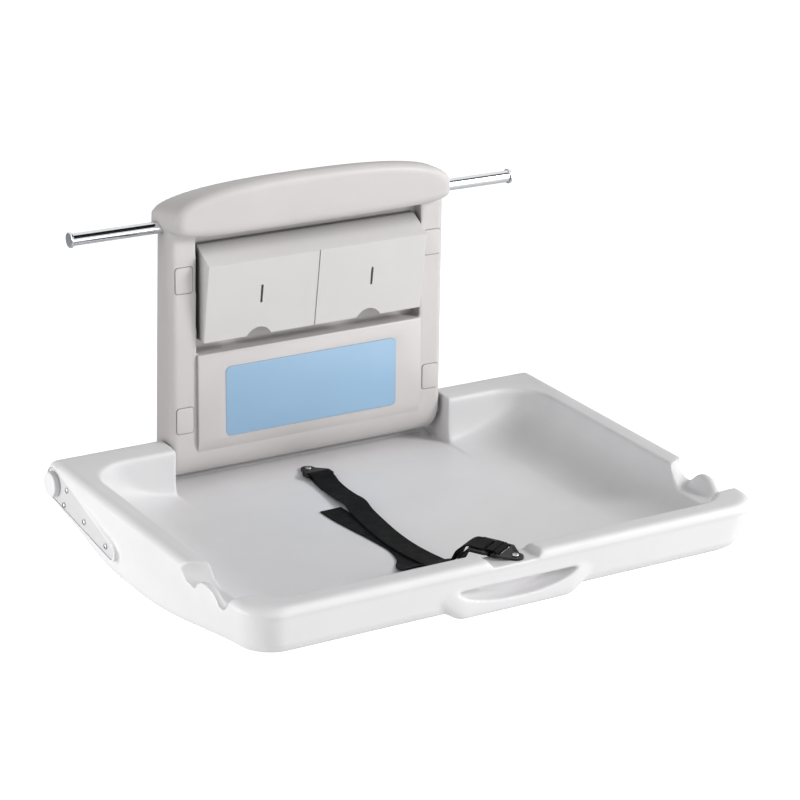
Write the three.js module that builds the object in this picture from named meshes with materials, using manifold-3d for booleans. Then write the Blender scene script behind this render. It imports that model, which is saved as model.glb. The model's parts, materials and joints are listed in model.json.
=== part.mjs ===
// Wall-mounted baby changing station: a moulded bed that folds down from a back panel.
// Millimetres, +X to the right, +Y into the wall, +Z up.
// The origin is on the wall, in the middle of the steel plate that carries everything.
import * as THREE from 'three';
import { mergeVertices } from 'three/addons/utils/BufferGeometryUtils.js';
import Module from 'manifold-3d';

const wasm = await Module();
wasm.setup();

// Fits
const SEAT_GAP = 0.3;          // between two pieces that touch
const RUN_GAP = 0.5;           // round a piece that turns or slides
const SWING_GAP = 3;           // between the bed and the panel it swings round

// Bed
const BED_WIDTH = 870;
const BED_REACH = 650;         // wall to the front of the bed
const BED_UNDERSIDE = 127;     // rim top to the flat underside
const FLOOR_DEPTH = 76;        // rim top to the floor of the tray
const RIM_BELOW_ORIGIN = 128;  // rim top below the middle of the wall plate
const REAR_RIM_WIDTH = 68;
const SIDE_RIM_WIDTH = 29;
const FRONT_RIM_WIDTH = 36;
const REAR_CORNER = 30;
const FRONT_CORNER = 66;
const SIDE_SLOPE_RUN = 106;    // how far the side wall leans in, rim to floor
const END_SLOPE_RUN = 30;      // the same for the front wall
const REAR_SLOPE_RUN = 14;     // and for the rear wall
const LIP_HEIGHT = 16;         // height of the lip along the front rim
const LIP_STEP = 3;            // how far the lip stands proud of the wall below it
const BED_EDGE_REAR = 90;      // rim top to the lower edge of the wall, at the back
const BED_EDGE_MIDDLE = 125;   // the same along the sides
const BED_EDGE_FRONT = 80;     // and at the front
const RIM_ROLL = 10;           // how far the rim rolls over before the inner walls begin
const FLOOR_START = 7;         // wall to the back edge of the floor, below the panel
const UNDER_INSET = 120;       // flat underside from the bed's outline
const CHANNEL_DEPTH = 1.5;     // shallow channel in the floor before the panel
const CHANNEL_REACH = 90;      // wall to the front of that channel

// Hinge
const HINGE_OUT = 38;          // hinge axis from the wall
const HINGE_DROP = 34;         // hinge axis below the rim top
const REAR_STAND_OFF = 4;      // back of the bed from the wall
const SHAFT_RADIUS = 6;
const BUSH_WALL = 2;
const BUSH_FLANGE = 1.7;
const BUSH_FLANGE_THICK = 2;
const DAMPER_RADIUS = 9.8;
const DAMPER_LENGTH = 62;
const DAMPER_INSET = 40;       // damper from the inner face of the plate's ear
const ARM_THICK = 3;
const ARM_RECESS = 4.5;        // arm's inner face below the side of the bed
const ARM_PAD = 5;             // moulded pad round the arm
const ARM_HUB_RADIUS = 25;
const ARM_TIP_RADIUS = 11;
const ARM_LENGTH = 186;
const ARM_FALL = 40;           // tip below the hub
const ARM_SCREW_RADIUS = 4.2;
const ARM_SCREW_HEAD = 2.4;
const ARM_SCREW_SHANK = 2;
const ARM_SCREW_LENGTH = 14;
const NUT_RADIUS = 10;
const NUT_HEIGHT = 6;
const CAP_RADIUS = 19.5;
const CAP_HEIGHT = 10;
const CAP_WALL = 2.2;
const BUMPER_RADIUS = 11;
const BUMPER_SEAT = 4;
const BUMPER_DROP = 56;        // middle of the bumper below the rim top
const BUMPER_INSET = 105;      // bumper from the side of the bed

// Back panel
const PANEL_FACE_LOW = 56;     // stile face from the wall, at the apron
const PANEL_FACE_HIGH = 42;    // stile face from the wall, at the shoulder
const PANEL_SKIN = 4;
const PANEL_EDGE_ROUND = 12;
const APRON_RADIUS = 52;
const APRON_START = -18;       // where the face turns into the apron, from the rim top
const FIELD_PROUD = 5;         // label field before the stiles
const STILE_WIDTH = 44;
const RECESS_BOTTOM = 137;
const RECESS_HEADROOM = 15;    // recess above the dispenser
const RECESS_SIDE_GAP = 6;     // recess beside the dispenser
const RECESS_BACK = 22;        // back of the recess from the wall
const SHOULDER_RISE = 15;      // shoulder above the rod
const HOOD_RISE = 54;          // crown of the hood above the shoulder
const HOOD_DROP = 28;          // lower lip of the hood below the shoulder
const HOOD_REACH = 66;         // front of the hood from the wall
const HOOD_ROUND = 14;
const HOOD_FALL = 14;          // how far the crown drops back to the wall
const HOOD_FLARE = 11;         // how far the hood widens back to the wall
const HOOD_TOP_FULLNESS = 2.5; // how square the hood's outline is, above
const HOOD_LIP_FULLNESS = 5;   // and below
const PLATE_THICK = 3;
const PLATE_MARGIN = 8;        // plate inside the panel's skin
const EAR_HEIGHT = 54;
const EAR_NOSE = 12;           // ear beyond the hinge axis

// Screw wells and covers
const COVER_WIDTH = 30;
const COVER_HEIGHT = 42;
const COVER_THICK = 3;
const COVER_PROUD = 0.8;
const COVER_LEDGE = 3;
const COVER_ROUND = 5;
const WELL_WALL = 3;
const WELL_FLOOR = 3;
const WALL_SCREW_HOLE = 4.5;
const COVER_INSET = 23;        // middle of the covers from the side of the panel
const COVER_LEVELS = { upper: 258, lower: 35 };

// Label plate
const LABEL_WIDTH = 306;
const LABEL_HEIGHT = 112;
const LABEL_THICK = 1.4;
const LABEL_SINK = 0.9;
const LABEL_ROUND = 9;
const LABEL_LEVEL = 56;        // middle of the label above the rim top

// Hanging rod
const ROD_RADIUS = 9.5;
const ROD_WALL = 1.5;
const ROD_SHORT = 49;          // rod's end inside the width of the bed, each side
const ROD_OUT = 14;            // rod axis from the wall
const ROD_RISE = 15;           // rod axis above the recess
const ROD_ASIDE = -6;          // middle of the rod from the middle of the panel
const ROD_CAP_RADIUS = 12;
const ROD_CAP_THICK = 4;
const ROD_PLUG_LENGTH = 12;

// Liner dispenser
const BIN_WIDTH = 388;
const BIN_TOP_BACK = 307;      // levels above the rim top
const BIN_TOP_FRONT = 283;
const BIN_BOTTOM = 158;
const BIN_BACK_OUT = 32;       // top back edge from the wall
const BIN_TOP_OUT = 73;        // top front edge from the wall
const BIN_BOTTOM_OUT = 60;     // lower front edge from the wall
const BIN_WALL = 3;
const BAY_OFFSET = 98;         // slot and outlet from the middle
const SLOT_WIDTH = 4;
const SLOT_HEIGHT = 30;
const SLOT_LEVEL = 226;
const OUTLET_RADIUS = 24;
const OUTLET_RISE = 13;
const DIVIDER_WIDTH = 2.4;
const DIVIDER_SINK = 1;
const HOOK_LEVEL = 236;
const HOOK_WIDTH = 8;
const HOOK_HEIGHT = 8;
const HOOK_REACH = 9;
const HOOK_LIP = 4;
const HOOK_LIP_THICK = 3;
const LUG_HEIGHT = 9;

// Bag hooks in the side rims
const NOTCH_START = 468;       // from the wall
const NOTCH_LENGTH = 120;
const NOTCH_DEPTH = 34;
const NOTCH_LIP_WIDTH = 15;    // raised lip along the outside of the notch
const NOTCH_LIP_DEPTH = 28;
const NOTCH_TAB_DEPTH = 13;    // top of the tab in the middle of that lip

// Pull handle under the front rim
const HANDLE_HALF_WIDTH = 124;
const HANDLE_DROP = 87;        // belly's lowest line below the rim top
const HANDLE_DEPTH = 35;
const SCOOP_HALF_WIDTH = 100;
const SCOOP_LEVEL = 50;
const SCOOP_HALF_HEIGHT = 12;
const SCOOP_DEPTH = 30;

// Strap and its anchors
const STRAP_WIDTH = 38;
const STRAP_THICK = 2;
const ANCHOR_WIDTH = 24;       // round end of the tongue
const REAR_TONGUE = 38;        // screw to the end of the tongue
const FRONT_TONGUE = 28;
const ANCHOR_THICK = 3;
const ANCHOR_LIFT = 4.5;       // how far the tongue's end is joggled up
const ANCHOR_SLOT = 7;
const ANCHOR_SCREW_RADIUS = 5;
const ANCHOR_SCREW_HEAD = 2.6;
const ANCHOR_SCREW_SHANK = 2.2;
const ANCHOR_SCREW_LENGTH = 12;
const REAR_ANCHOR_OUT = 76;    // rear anchor's screw from the wall
const REAR_ANCHOR_ASIDE = -14; // and from the middle
const GAP_LEFT = 52;           // break in the front lip, to either side of the middle
const GAP_RIGHT = 34;
const GAP_DEPTH = 11;
const FRONT_ANCHOR_INSET = 18; // front anchor's screw from the front of the bed
const FRONT_ANCHOR_TURN = 30;  // degrees that the front anchor points to the left
const BUCKLE_WIDTH = 52;
const BUCKLE_THICK = 4;
const BUCKLE_BAR = 5;
const BUCKLE_SLOT = 8.5;
const BUCKLE_START = 33;       // buckle's first bar from the front anchor's screw

// Derived places
const RIM = -RIM_BELOW_ORIGIN;
const HALF_BED = BED_WIDTH / 2;
const HALF_RECESS = BIN_WIDTH / 2 + RECESS_SIDE_GAP;
const HALF_PANEL = HALF_RECESS + STILE_WIDTH;
const RECESS_TOP = BIN_TOP_BACK + RECESS_HEADROOM;
const ROD_LEVEL = RECESS_TOP + ROD_RISE;
const ROD_LENGTH = BED_WIDTH - 2 * ROD_SHORT;
const PANEL_SHOULDER = ROD_LEVEL + SHOULDER_RISE;
const HINGE_Y = -HINGE_OUT;
const HINGE_Z = RIM - HINGE_DROP;
const REAR_ROUND = HINGE_OUT - REAR_STAND_OFF;
const GAP_HALF_PANEL = HALF_PANEL + SWING_GAP;
const FACE_RISE = PANEL_SHOULDER - APRON_START;
const FACE_TILT = Math.atan((PANEL_FACE_LOW - PANEL_FACE_HIGH) / FACE_RISE);
const ARM_INNER_X = HALF_BED - ARM_RECESS;
const ARM_OUTER_X = ARM_INNER_X + ARM_THICK;
const EAR_X = HALF_PANEL - PANEL_SKIN - PLATE_THICK - SEAT_GAP;
const SIDES = { left: -1, right: 1 };

// Axes for profiles: (first, second, along) of the drawn shape
const ALONG_X = new THREE.Matrix4().makeBasis(
  new THREE.Vector3(0, 1, 0), new THREE.Vector3(0, 0, 1), new THREE.Vector3(1, 0, 0));
const ALONG_FRONT = new THREE.Matrix4().makeBasis(
  new THREE.Vector3(1, 0, 0), new THREE.Vector3(0, 0, 1), new THREE.Vector3(0, -1, 0));

// Closed geometry to a solid for joining and cutting, and back
function solid(geometry) {
  const bare = geometry.clone();
  bare.deleteAttribute('normal');
  bare.deleteAttribute('uv');
  const merged = mergeVertices(bare, 1e-3);
  const triangles = [];
  for (let i = 0; i < merged.index.count; i += 3) {
    const [a, b, c] = [0, 1, 2].map((step) => merged.index.getX(i + step));
    if (a !== b && b !== c && c !== a) triangles.push(a, b, c);
  }
  return new wasm.Manifold(new wasm.Mesh({
    numProp: 3,
    vertProperties: new Float32Array(merged.attributes.position.array),
    triVerts: new Uint32Array(triangles),
  }));
}

function surface(body) {
  const mesh = body.getMesh();
  const geometry = new THREE.BufferGeometry();
  geometry.setAttribute('position', new THREE.BufferAttribute(new Float32Array(mesh.vertProperties), 3));
  geometry.setIndex(new THREE.BufferAttribute(new Uint32Array(mesh.triVerts), 1));
  geometry.computeVertexNormals();
  return geometry;
}

function cut(body, ...tools) {
  return tools.reduce((rest, tool) => rest.subtract(tool), body);
}

function join(body, ...others) {
  return others.reduce((whole, other) => whole.add(other), body);
}

// Box between two corners, given as ranges along each axis
function block(xs, ys, zs) {
  const geometry = new THREE.BoxGeometry(xs[1] - xs[0], ys[1] - ys[0], zs[1] - zs[0]);
  geometry.translate((xs[0] + xs[1]) / 2, (ys[0] + ys[1]) / 2, (zs[0] + zs[1]) / 2);
  return solid(geometry);
}

// Round bar along an axis, from one end to the other
function bar(axis, radius, from, to, centre, sides = 20, radiusTo = radius) {
  const geometry = new THREE.CylinderGeometry(radiusTo, radius, to - from, sides);
  geometry.translate(0, (from + to) / 2, 0);
  if (axis === 'x') geometry.rotateZ(-Math.PI / 2);
  if (axis === 'z') geometry.rotateX(Math.PI / 2);
  geometry.translate(centre.x ?? 0, centre.y ?? 0, centre.z ?? 0);
  return solid(geometry);
}

// Outline as plain corners, without the doubled ones where a line meets an arc
function corners(shape, curveSegments) {
  const drawn = shape.extractPoints(curveSegments);
  const distinct = (points) => points.filter((point, i) =>
    point.distanceTo(points[(i + 1) % points.length]) > 0.01);
  const outline = new THREE.Shape(distinct(drawn.shape));
  outline.holes = drawn.holes.map((hole) => new THREE.Path(distinct(hole)));
  return outline;
}

// Drawn (y, z) profile swept across X, with its ends rounded over
function across(shape, halfWidth, round = 0, curveSegments = 10) {
  const geometry = new THREE.ExtrudeGeometry(corners(shape, curveSegments), {
    depth: 2 * (halfWidth - round),
    bevelEnabled: round > 0,
    bevelSize: round,
    bevelThickness: round,
    bevelOffset: -round,
    bevelSegments: 3,
  });
  geometry.translate(0, 0, -(halfWidth - round));
  geometry.applyMatrix4(ALONG_X);
  return solid(geometry);
}

// Drawn (x, z) outline brought forward from one distance off the wall to another
function forward(shape, from, to, round = 0, curveSegments = 8) {
  const geometry = new THREE.ExtrudeGeometry(corners(shape, curveSegments), {
    depth: to - from - 2 * round,
    bevelEnabled: round > 0,
    bevelSize: round,
    bevelThickness: round,
    bevelOffset: -round,
    bevelSegments: 2,
  });
  geometry.applyMatrix4(ALONG_FRONT);
  geometry.translate(0, -(from + round), 0);
  return solid(geometry);
}

function roundedRectangle(width, height, radius) {
  const w = width / 2;
  const h = height / 2;
  const shape = new THREE.Shape();
  shape.moveTo(-w + radius, -h);
  shape.lineTo(w - radius, -h);
  shape.absarc(w - radius, -h + radius, radius, -Math.PI / 2, 0);
  shape.lineTo(w, h - radius);
  shape.absarc(w - radius, h - radius, radius, 0, Math.PI / 2);
  shape.lineTo(-w + radius, h);
  shape.absarc(-w + radius, h - radius, radius, Math.PI / 2, Math.PI);
  shape.lineTo(-w, -h + radius);
  shape.absarc(-w + radius, -h + radius, radius, Math.PI, 1.5 * Math.PI);
  return shape;
}

// Two circles wrapped by a belt, in the (y, z) plane
function wrapped(from, fromRadius, to, toRadius) {
  const heading = Math.atan2(to.z - from.z, to.y - from.y);
  const length = Math.hypot(to.y - from.y, to.z - from.z);
  const lean = Math.acos((fromRadius - toRadius) / length);
  const shape = new THREE.Shape();
  shape.absarc(from.y, from.z, fromRadius, heading + lean, heading - lean + 2 * Math.PI, false);
  shape.absarc(to.y, to.z, toRadius, heading - lean, heading + lean, false);
  shape.closePath();
  return shape;
}

function polygon(points) {
  return new THREE.Shape(points.map(([first, second]) => new THREE.Vector2(first, second)));
}

// Surface through closed rings of equal count, with the first and last ring closed over
function loft(rings) {
  const count = rings[0].length;
  const positions = rings.flat().flatMap((point) => [point.x, point.y, point.z]);
  const index = [];
  for (let row = 0; row + 1 < rings.length; row += 1) {
    for (let i = 0; i < count; i += 1) {
      const a = row * count + i;
      const b = row * count + ((i + 1) % count);
      index.push(a, b, b + count, a, b + count, a + count);
    }
  }
  for (const [row, flip] of [[0, true], [rings.length - 1, false]]) {
    const middle = rings[row].reduce((sum, p) => sum.add(p), new THREE.Vector3()).divideScalar(count);
    const hub = positions.length / 3;
    positions.push(middle.x, middle.y, middle.z);
    for (let i = 0; i < count; i += 1) {
      const a = row * count + i;
      const b = row * count + ((i + 1) % count);
      if (flip) index.push(b, a, hub);
      else index.push(a, b, hub);
    }
  }
  const geometry = new THREE.BufferGeometry();
  geometry.setAttribute('position', new THREE.Float32BufferAttribute(positions, 3));
  geometry.setIndex(index);
  return geometry;
}

// Flat strap through stations, each a place and the direction of the strap's width there,
// kept from sinking below the floor that it lies on
function ribbon(stations, width, thick, stepsBetween, floor) {
  const curve = new THREE.CatmullRomCurve3(stations.map(({ at }) => at), false, 'centripetal');
  const steps = (stations.length - 1) * stepsBetween;
  const rings = [];
  for (let step = 0; step <= steps; step += 1) {
    const middle = curve.getPoint(step / steps);
    const along = curve.getTangent(step / steps);
    const lowest = floor + thick / 2 + SEAT_GAP;
    if (middle.z <= lowest) {
      middle.z = lowest;
      along.setZ(0).normalize();
    }
    const station = Math.min(Math.floor(step / stepsBetween), stations.length - 2);
    const side = stations[station].side.clone()
      .lerp(stations[station + 1].side, step / stepsBetween - station);
    side.addScaledVector(along, -side.dot(along)).normalize();
    const up = new THREE.Vector3().crossVectors(side, along);
    const corner = (w, h) => middle.clone()
      .addScaledVector(side, w * width / 2).addScaledVector(up, h * thick / 2);
    rings.push([corner(1, 1), corner(1, -1), corner(-1, -1), corner(-1, 1)]);
  }
  return loft(rings);
}

// Stile face from the wall at a level above the rim top
function faceOut(level) {
  return PANEL_FACE_LOW - (level - APRON_START) * Math.tan(FACE_TILT);
}

// Places a piece drawn round the origin, facing the room, on the leaning face of the panel
function onFace(x, level, proud = 0) {
  const place = new THREE.Matrix4().makeTranslation(x, -(faceOut(level) + proud), RIM + level);
  return place.multiply(new THREE.Matrix4().makeRotationX(-FACE_TILT));
}

function placed(body, matrix) {
  return body.transform(matrix.elements);
}

const metal = { metalness: 1, roughness: 0.25 };
const plastic = { metalness: 0, roughness: 0.45 };
const FINISH = {
  panel: { color: 0xd8d4d1, ...plastic },
  bed: { color: 0xe4e4e6, ...plastic },
  cover: { color: 0xdcd9d6, ...plastic },
  label: { color: 0xaed2ee, metalness: 0, roughness: 0.35 },
  chrome: { color: 0xd9dcdf, metalness: 1, roughness: 0.08 },
  steel: { color: 0xb4b6b8, ...metal },
  painted: { color: 0xe2e2e2, metalness: 0.2, roughness: 0.4 },
  black: { color: 0x1b1b1c, metalness: 0, roughness: 0.5 },
  webbing: { color: 0x1f1f21, metalness: 0, roughness: 0.85 },
  rubber: { color: 0x2a2a2a, metalness: 0, roughness: 0.8 },
};

const station = new THREE.Group();

function piece(name, body, finish) {
  const geometry = body.isBufferGeometry ? body : surface(body);
  const mesh = new THREE.Mesh(geometry, new THREE.MeshStandardMaterial(FINISH[finish]));
  mesh.name = name;
  station.add(mesh);
  return mesh;
}

// Side profile of the panel, from behind the wall round the apron and up the leaning face
function panelProfile(skin) {
  const behind = 3 * PANEL_EDGE_ROUND;
  const apronCentre = PANEL_FACE_LOW - APRON_RADIUS;
  const radius = APRON_RADIUS - skin;
  const face = (level) => -(faceOut(level) - skin);
  const shape = new THREE.Shape();
  const top = PANEL_SHOULDER - skin;
  shape.moveTo(behind, RIM + top);
  shape.lineTo(face(top), RIM + top);
  shape.lineTo(face(APRON_START), RIM + APRON_START);
  shape.absarc(-apronCentre, RIM + APRON_START, radius, Math.PI, 1.5 * Math.PI, false);
  shape.lineTo(behind, RIM + APRON_START - radius);
  return shape;
}

// Lens outline of the hood, flatter below than above, set in by an amount, at a distance off the wall
const HOOD_STEPS = 32;
function hoodRing(inset, out) {
  const back = 1 - THREE.MathUtils.clamp(out / (HOOD_REACH - HOOD_ROUND), 0, 1);
  return Array.from({ length: HOOD_STEPS }, (_, i) => {
    const turn = 2 * Math.PI * (i / HOOD_STEPS);
    const [c, s] = [Math.cos(turn), Math.sin(turn)];
    const power = 2 / (s > 0 ? HOOD_TOP_FULLNESS : HOOD_LIP_FULLNESS);
    const half = HALF_PANEL + HOOD_FLARE * back - inset;
    const height = (s > 0 ? HOOD_RISE - HOOD_FALL * back : HOOD_DROP) - inset;
    return new THREE.Vector3(half * Math.sign(c) * Math.abs(c) ** power, -out,
      RIM + PANEL_SHOULDER + height * Math.sign(s) * Math.abs(s) ** power);
  });
}

// Hood brought forward from the wall, with its front edge rounded over
function hood(inset, from) {
  const steps = 4;
  const round = HOOD_ROUND - inset;
  const rings = [hoodRing(inset, from)];
  for (let i = 0; i <= steps; i += 1) {
    const turn = (Math.PI / 2) * (i / steps);
    rings.push(hoodRing(inset + round * (1 - Math.cos(turn)),
      HOOD_REACH - HOOD_ROUND + round * Math.sin(turn)));
  }
  return solid(loft(rings));
}

// Screw wells: a tube behind each cover, open at the face, with a ledge that the cover sits on
const wells = Object.entries(COVER_LEVELS).flatMap(([level, height]) =>
  Object.entries(SIDES).map(([side, sign]) =>
    ({ level, side, height, x: sign * (HALF_PANEL - COVER_INSET) })));

function wellTools({ x, height }) {
  const face = onFace(x, height);
  const mouth = forward(roundedRectangle(COVER_WIDTH, COVER_HEIGHT, COVER_ROUND),
    -(COVER_THICK - COVER_PROUD), PANEL_SKIN, 0, 2);
  const inside = [COVER_WIDTH - 2 * COVER_LEDGE, COVER_HEIGHT - 2 * COVER_LEDGE];
  const outside = [inside[0] + 2 * WELL_WALL, inside[1] + 2 * WELL_WALL];
  const depth = faceOut(height);
  const z = RIM + height;
  const floorOut = PLATE_THICK + SEAT_GAP + WELL_FLOOR;
  const tube = block([x - outside[0] / 2, x + outside[0] / 2], [-(depth - 1), -(PLATE_THICK + SEAT_GAP)],
    [z - outside[1] / 2, z + outside[1] / 2]);
  const hollow = block([x - inside[0] / 2, x + inside[0] / 2], [-(depth + PANEL_SKIN), -floorOut],
    [z - inside[1] / 2, z + inside[1] / 2]);
  const hole = bar('y', WALL_SCREW_HOLE, -floorOut - 1, 1, { x, z }, 12);
  return { tube, mouth: placed(mouth, face), hollow, hole };
}

function backPanel() {
  const field = across(polygon([
    [-(faceOut(APRON_START) - 1), RIM + APRON_START],
    [-(faceOut(RECESS_BOTTOM) - 1), RIM + RECESS_BOTTOM],
    [-(faceOut(RECESS_BOTTOM) + FIELD_PROUD - 2), RIM + RECESS_BOTTOM],
    [-(faceOut(RECESS_BOTTOM) + FIELD_PROUD), RIM + RECESS_BOTTOM - 3],
    [-(faceOut(APRON_START) + FIELD_PROUD), RIM + APRON_START + 16],
    [-(faceOut(APRON_START) + 0.1), RIM + APRON_START - 2],
  ]), HALF_RECESS);
  const wall = block([-BED_WIDTH, BED_WIDTH], [0, BED_REACH], [-BED_REACH, BED_REACH]);
  const outer = join(cut(across(panelProfile(0), HALF_PANEL, PANEL_EDGE_ROUND, 9), wall), field,
    hood(0, 0));
  const hollow = join(across(panelProfile(PANEL_SKIN), HALF_PANEL - PANEL_SKIN, 0, 9),
    hood(PANEL_SKIN, -1));
  const recessRoom = [-(HOOD_REACH - PANEL_SKIN), -(RECESS_BACK - PANEL_SKIN)];
  const recessWalls = block([-HALF_RECESS - PANEL_SKIN, HALF_RECESS + PANEL_SKIN], recessRoom,
    [RIM + RECESS_BOTTOM - PANEL_SKIN, RIM + RECESS_TOP + PANEL_SKIN]).intersect(outer);
  const recess = block([-HALF_RECESS, HALF_RECESS], [-HOOD_REACH - FIELD_PROUD, -RECESS_BACK],
    [RIM + RECESS_BOTTOM, RIM + RECESS_TOP]);
  const hooks = Object.values(SIDES).map((sign) => dispenserHook(sign));
  const tools = wells.map(wellTools);
  const shaftHoles = Object.values(SIDES).map((sign) =>
    bar('x', SHAFT_RADIUS + BUSH_WALL + SEAT_GAP, HALF_PANEL - PANEL_SKIN - 2, HALF_PANEL + 1,
      { y: HINGE_Y, z: HINGE_Z }).transform(mirrorX(sign)));
  const rodHole = bar('x', ROD_RADIUS + SEAT_GAP, -HALF_PANEL - HOOD_FLARE, HALF_PANEL + HOOD_FLARE,
    { y: -ROD_OUT, z: RIM + ROD_LEVEL });
  const label = placed(forward(roundedRectangle(LABEL_WIDTH + 2 * SEAT_GAP, LABEL_HEIGHT + 2 * SEAT_GAP,
    LABEL_ROUND), -LABEL_SINK, PANEL_SKIN, 0, 5), onFace(0, LABEL_LEVEL, FIELD_PROUD));
  let body = cut(outer, hollow);
  body = join(body, recessWalls, ...tools.map((tool) => tool.tube));
  body = cut(body, recess, rodHole, label, ...shaftHoles);
  body = cut(body, ...tools.flatMap((tool) => [tool.mouth, tool.hollow, tool.hole]));
  return join(body, ...hooks);
}

// Mirror across the middle of the station for left-hand pieces
function mirrorX(sign) {
  return new THREE.Matrix4().makeScale(sign, 1, 1).elements;
}

// Hook on the back of the recess that the dispenser hangs on
function dispenserHook(sign) {
  const outerX = BIN_WIDTH / 2 - BIN_WALL - RUN_GAP;
  const xs = [outerX - HOOK_WIDTH, outerX];
  const z = RIM + HOOK_LEVEL;
  const arm = block(xs, [-RECESS_BACK - HOOK_REACH, -RECESS_BACK + 1], [z - HOOK_HEIGHT, z]);
  const lip = block(xs, [-RECESS_BACK - HOOK_REACH, -RECESS_BACK - HOOK_REACH + HOOK_LIP_THICK],
    [z - 1, z + HOOK_LIP]);
  return join(arm, lip).transform(mirrorX(sign));
}

// Open-backed, open-bottomed cover that holds two stacks of bed liners
function dispenserCover() {
  const backOut = RECESS_BACK + SEAT_GAP;
  const outline = [
    [-BIN_BACK_OUT, RIM + BIN_TOP_BACK], [-BIN_TOP_OUT, RIM + BIN_TOP_FRONT],
    [-BIN_BOTTOM_OUT, RIM + BIN_BOTTOM], [-backOut, RIM + BIN_BOTTOM],
    [-backOut, RIM + BIN_TOP_BACK],
  ];
  const lean = (BIN_TOP_OUT - BIN_BOTTOM_OUT) / (BIN_TOP_FRONT - BIN_BOTTOM);
  const inner = [
    [-BIN_BACK_OUT, RIM + BIN_TOP_BACK - BIN_WALL * 1.2],
    [-(BIN_TOP_OUT - BIN_WALL), RIM + BIN_TOP_FRONT - BIN_WALL * 0.6],
    [-(BIN_BOTTOM_OUT - BIN_WALL - lean), RIM + BIN_BOTTOM - 1],
    [-(backOut - 1), RIM + BIN_BOTTOM - 1], [-(backOut - 1), RIM + BIN_TOP_BACK - BIN_WALL * 1.2],
  ];
  const shell = cut(across(polygon(outline), BIN_WIDTH / 2, 2),
    across(polygon(inner), BIN_WIDTH / 2 - BIN_WALL));
  const frontTilt = new THREE.Matrix4().makeRotationX(Math.atan(lean));
  const frontOut = (level) => BIN_BOTTOM_OUT + (level - BIN_BOTTOM) * lean;
  const slots = [-BAY_OFFSET, BAY_OFFSET].map((x) => {
    const place = new THREE.Matrix4().makeTranslation(x, -frontOut(SLOT_LEVEL), RIM + SLOT_LEVEL);
    return placed(forward(roundedRectangle(SLOT_WIDTH, SLOT_HEIGHT, SLOT_WIDTH / 2 - 0.1), -BIN_WALL - 2, 4),
      place.multiply(frontTilt));
  });
  const outlets = [-BAY_OFFSET, BAY_OFFSET].map((x) =>
    bar('y', OUTLET_RADIUS, -BIN_TOP_OUT - 2, -BIN_BOTTOM_OUT + 3 * BIN_WALL,
      { x, z: RIM + BIN_BOTTOM + OUTLET_RISE - OUTLET_RADIUS }, 28));
  const middle = (BIN_TOP_FRONT + BIN_BOTTOM) / 2;
  const groove = placed(forward(roundedRectangle(DIVIDER_WIDTH, BIN_TOP_FRONT - BIN_BOTTOM + 8, 1),
    -DIVIDER_SINK, 4), new THREE.Matrix4().makeTranslation(0, -frontOut(middle), RIM + middle)
    .multiply(frontTilt));
  const partition = block([-BIN_WALL / 2, BIN_WALL / 2], [-(BIN_BOTTOM_OUT - 1), -(backOut + 2)],
    [RIM + BIN_BOTTOM + 6, RIM + BIN_TOP_FRONT]);
  const lugX = BIN_WIDTH / 2 - BIN_WALL;
  const lugs = Object.values(SIDES).map((sign) => block([lugX - HOOK_WIDTH, lugX + 1],
    [-RECESS_BACK - HOOK_REACH + HOOK_LIP_THICK + RUN_GAP, -backOut],
    [RIM + HOOK_LEVEL + SEAT_GAP, RIM + HOOK_LEVEL + SEAT_GAP + LUG_HEIGHT]).transform(mirrorX(sign)));
  return join(cut(shell, ...slots, ...outlets, groove), partition, ...lugs);
}

// Steel plate on the wall, with two ears that carry the hinge shaft
function wallPlate() {
  const half = EAR_X + PLATE_THICK;
  const bottom = RIM + APRON_START - APRON_RADIUS + PANEL_SKIN + PLATE_MARGIN;
  const top = RIM + RECESS_TOP - PLATE_MARGIN;
  const sheet = block([-half, half], [-PLATE_THICK, 0], [bottom, top]);
  const room = across(panelProfile(PANEL_SKIN + SEAT_GAP), HALF_PANEL, 0, 9);
  const ears = Object.values(SIDES).map((sign) => {
    const ear = block([EAR_X, EAR_X + PLATE_THICK], [-(HINGE_OUT + EAR_NOSE), -1],
      [HINGE_Z - EAR_HEIGHT / 2 + EAR_HEIGHT / 4, HINGE_Z + EAR_HEIGHT * 0.75]);
    const eye = bar('x', SHAFT_RADIUS + BUSH_WALL + SEAT_GAP, EAR_X - 1, EAR_X + PLATE_THICK + 1,
      { y: HINGE_Y, z: HINGE_Z });
    return cut(ear.intersect(room), eye).transform(mirrorX(sign));
  });
  const holes = wells.map(({ x, height }) =>
    bar('y', WALL_SCREW_HOLE, -PLATE_THICK - 1, 1, { x, z: RIM + height }, 12));
  return cut(join(sheet, ...ears), ...holes);
}

// Flanged bush in the plate's ear and the panel's side
function shaftBush(sign) {
  const place = { y: HINGE_Y, z: HINGE_Z };
  const sleeve = bar('x', SHAFT_RADIUS + BUSH_WALL, EAR_X - 1, HALF_PANEL, place);
  const flange = bar('x', SHAFT_RADIUS + BUSH_WALL + BUSH_FLANGE, EAR_X - SEAT_GAP - BUSH_FLANGE_THICK,
    EAR_X - SEAT_GAP, place);
  const bore = bar('x', SHAFT_RADIUS + SEAT_GAP, EAR_X - BUSH_FLANGE_THICK - 2, HALF_PANEL + 1, place);
  return cut(join(sleeve, flange), bore).transform(mirrorX(sign));
}

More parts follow.
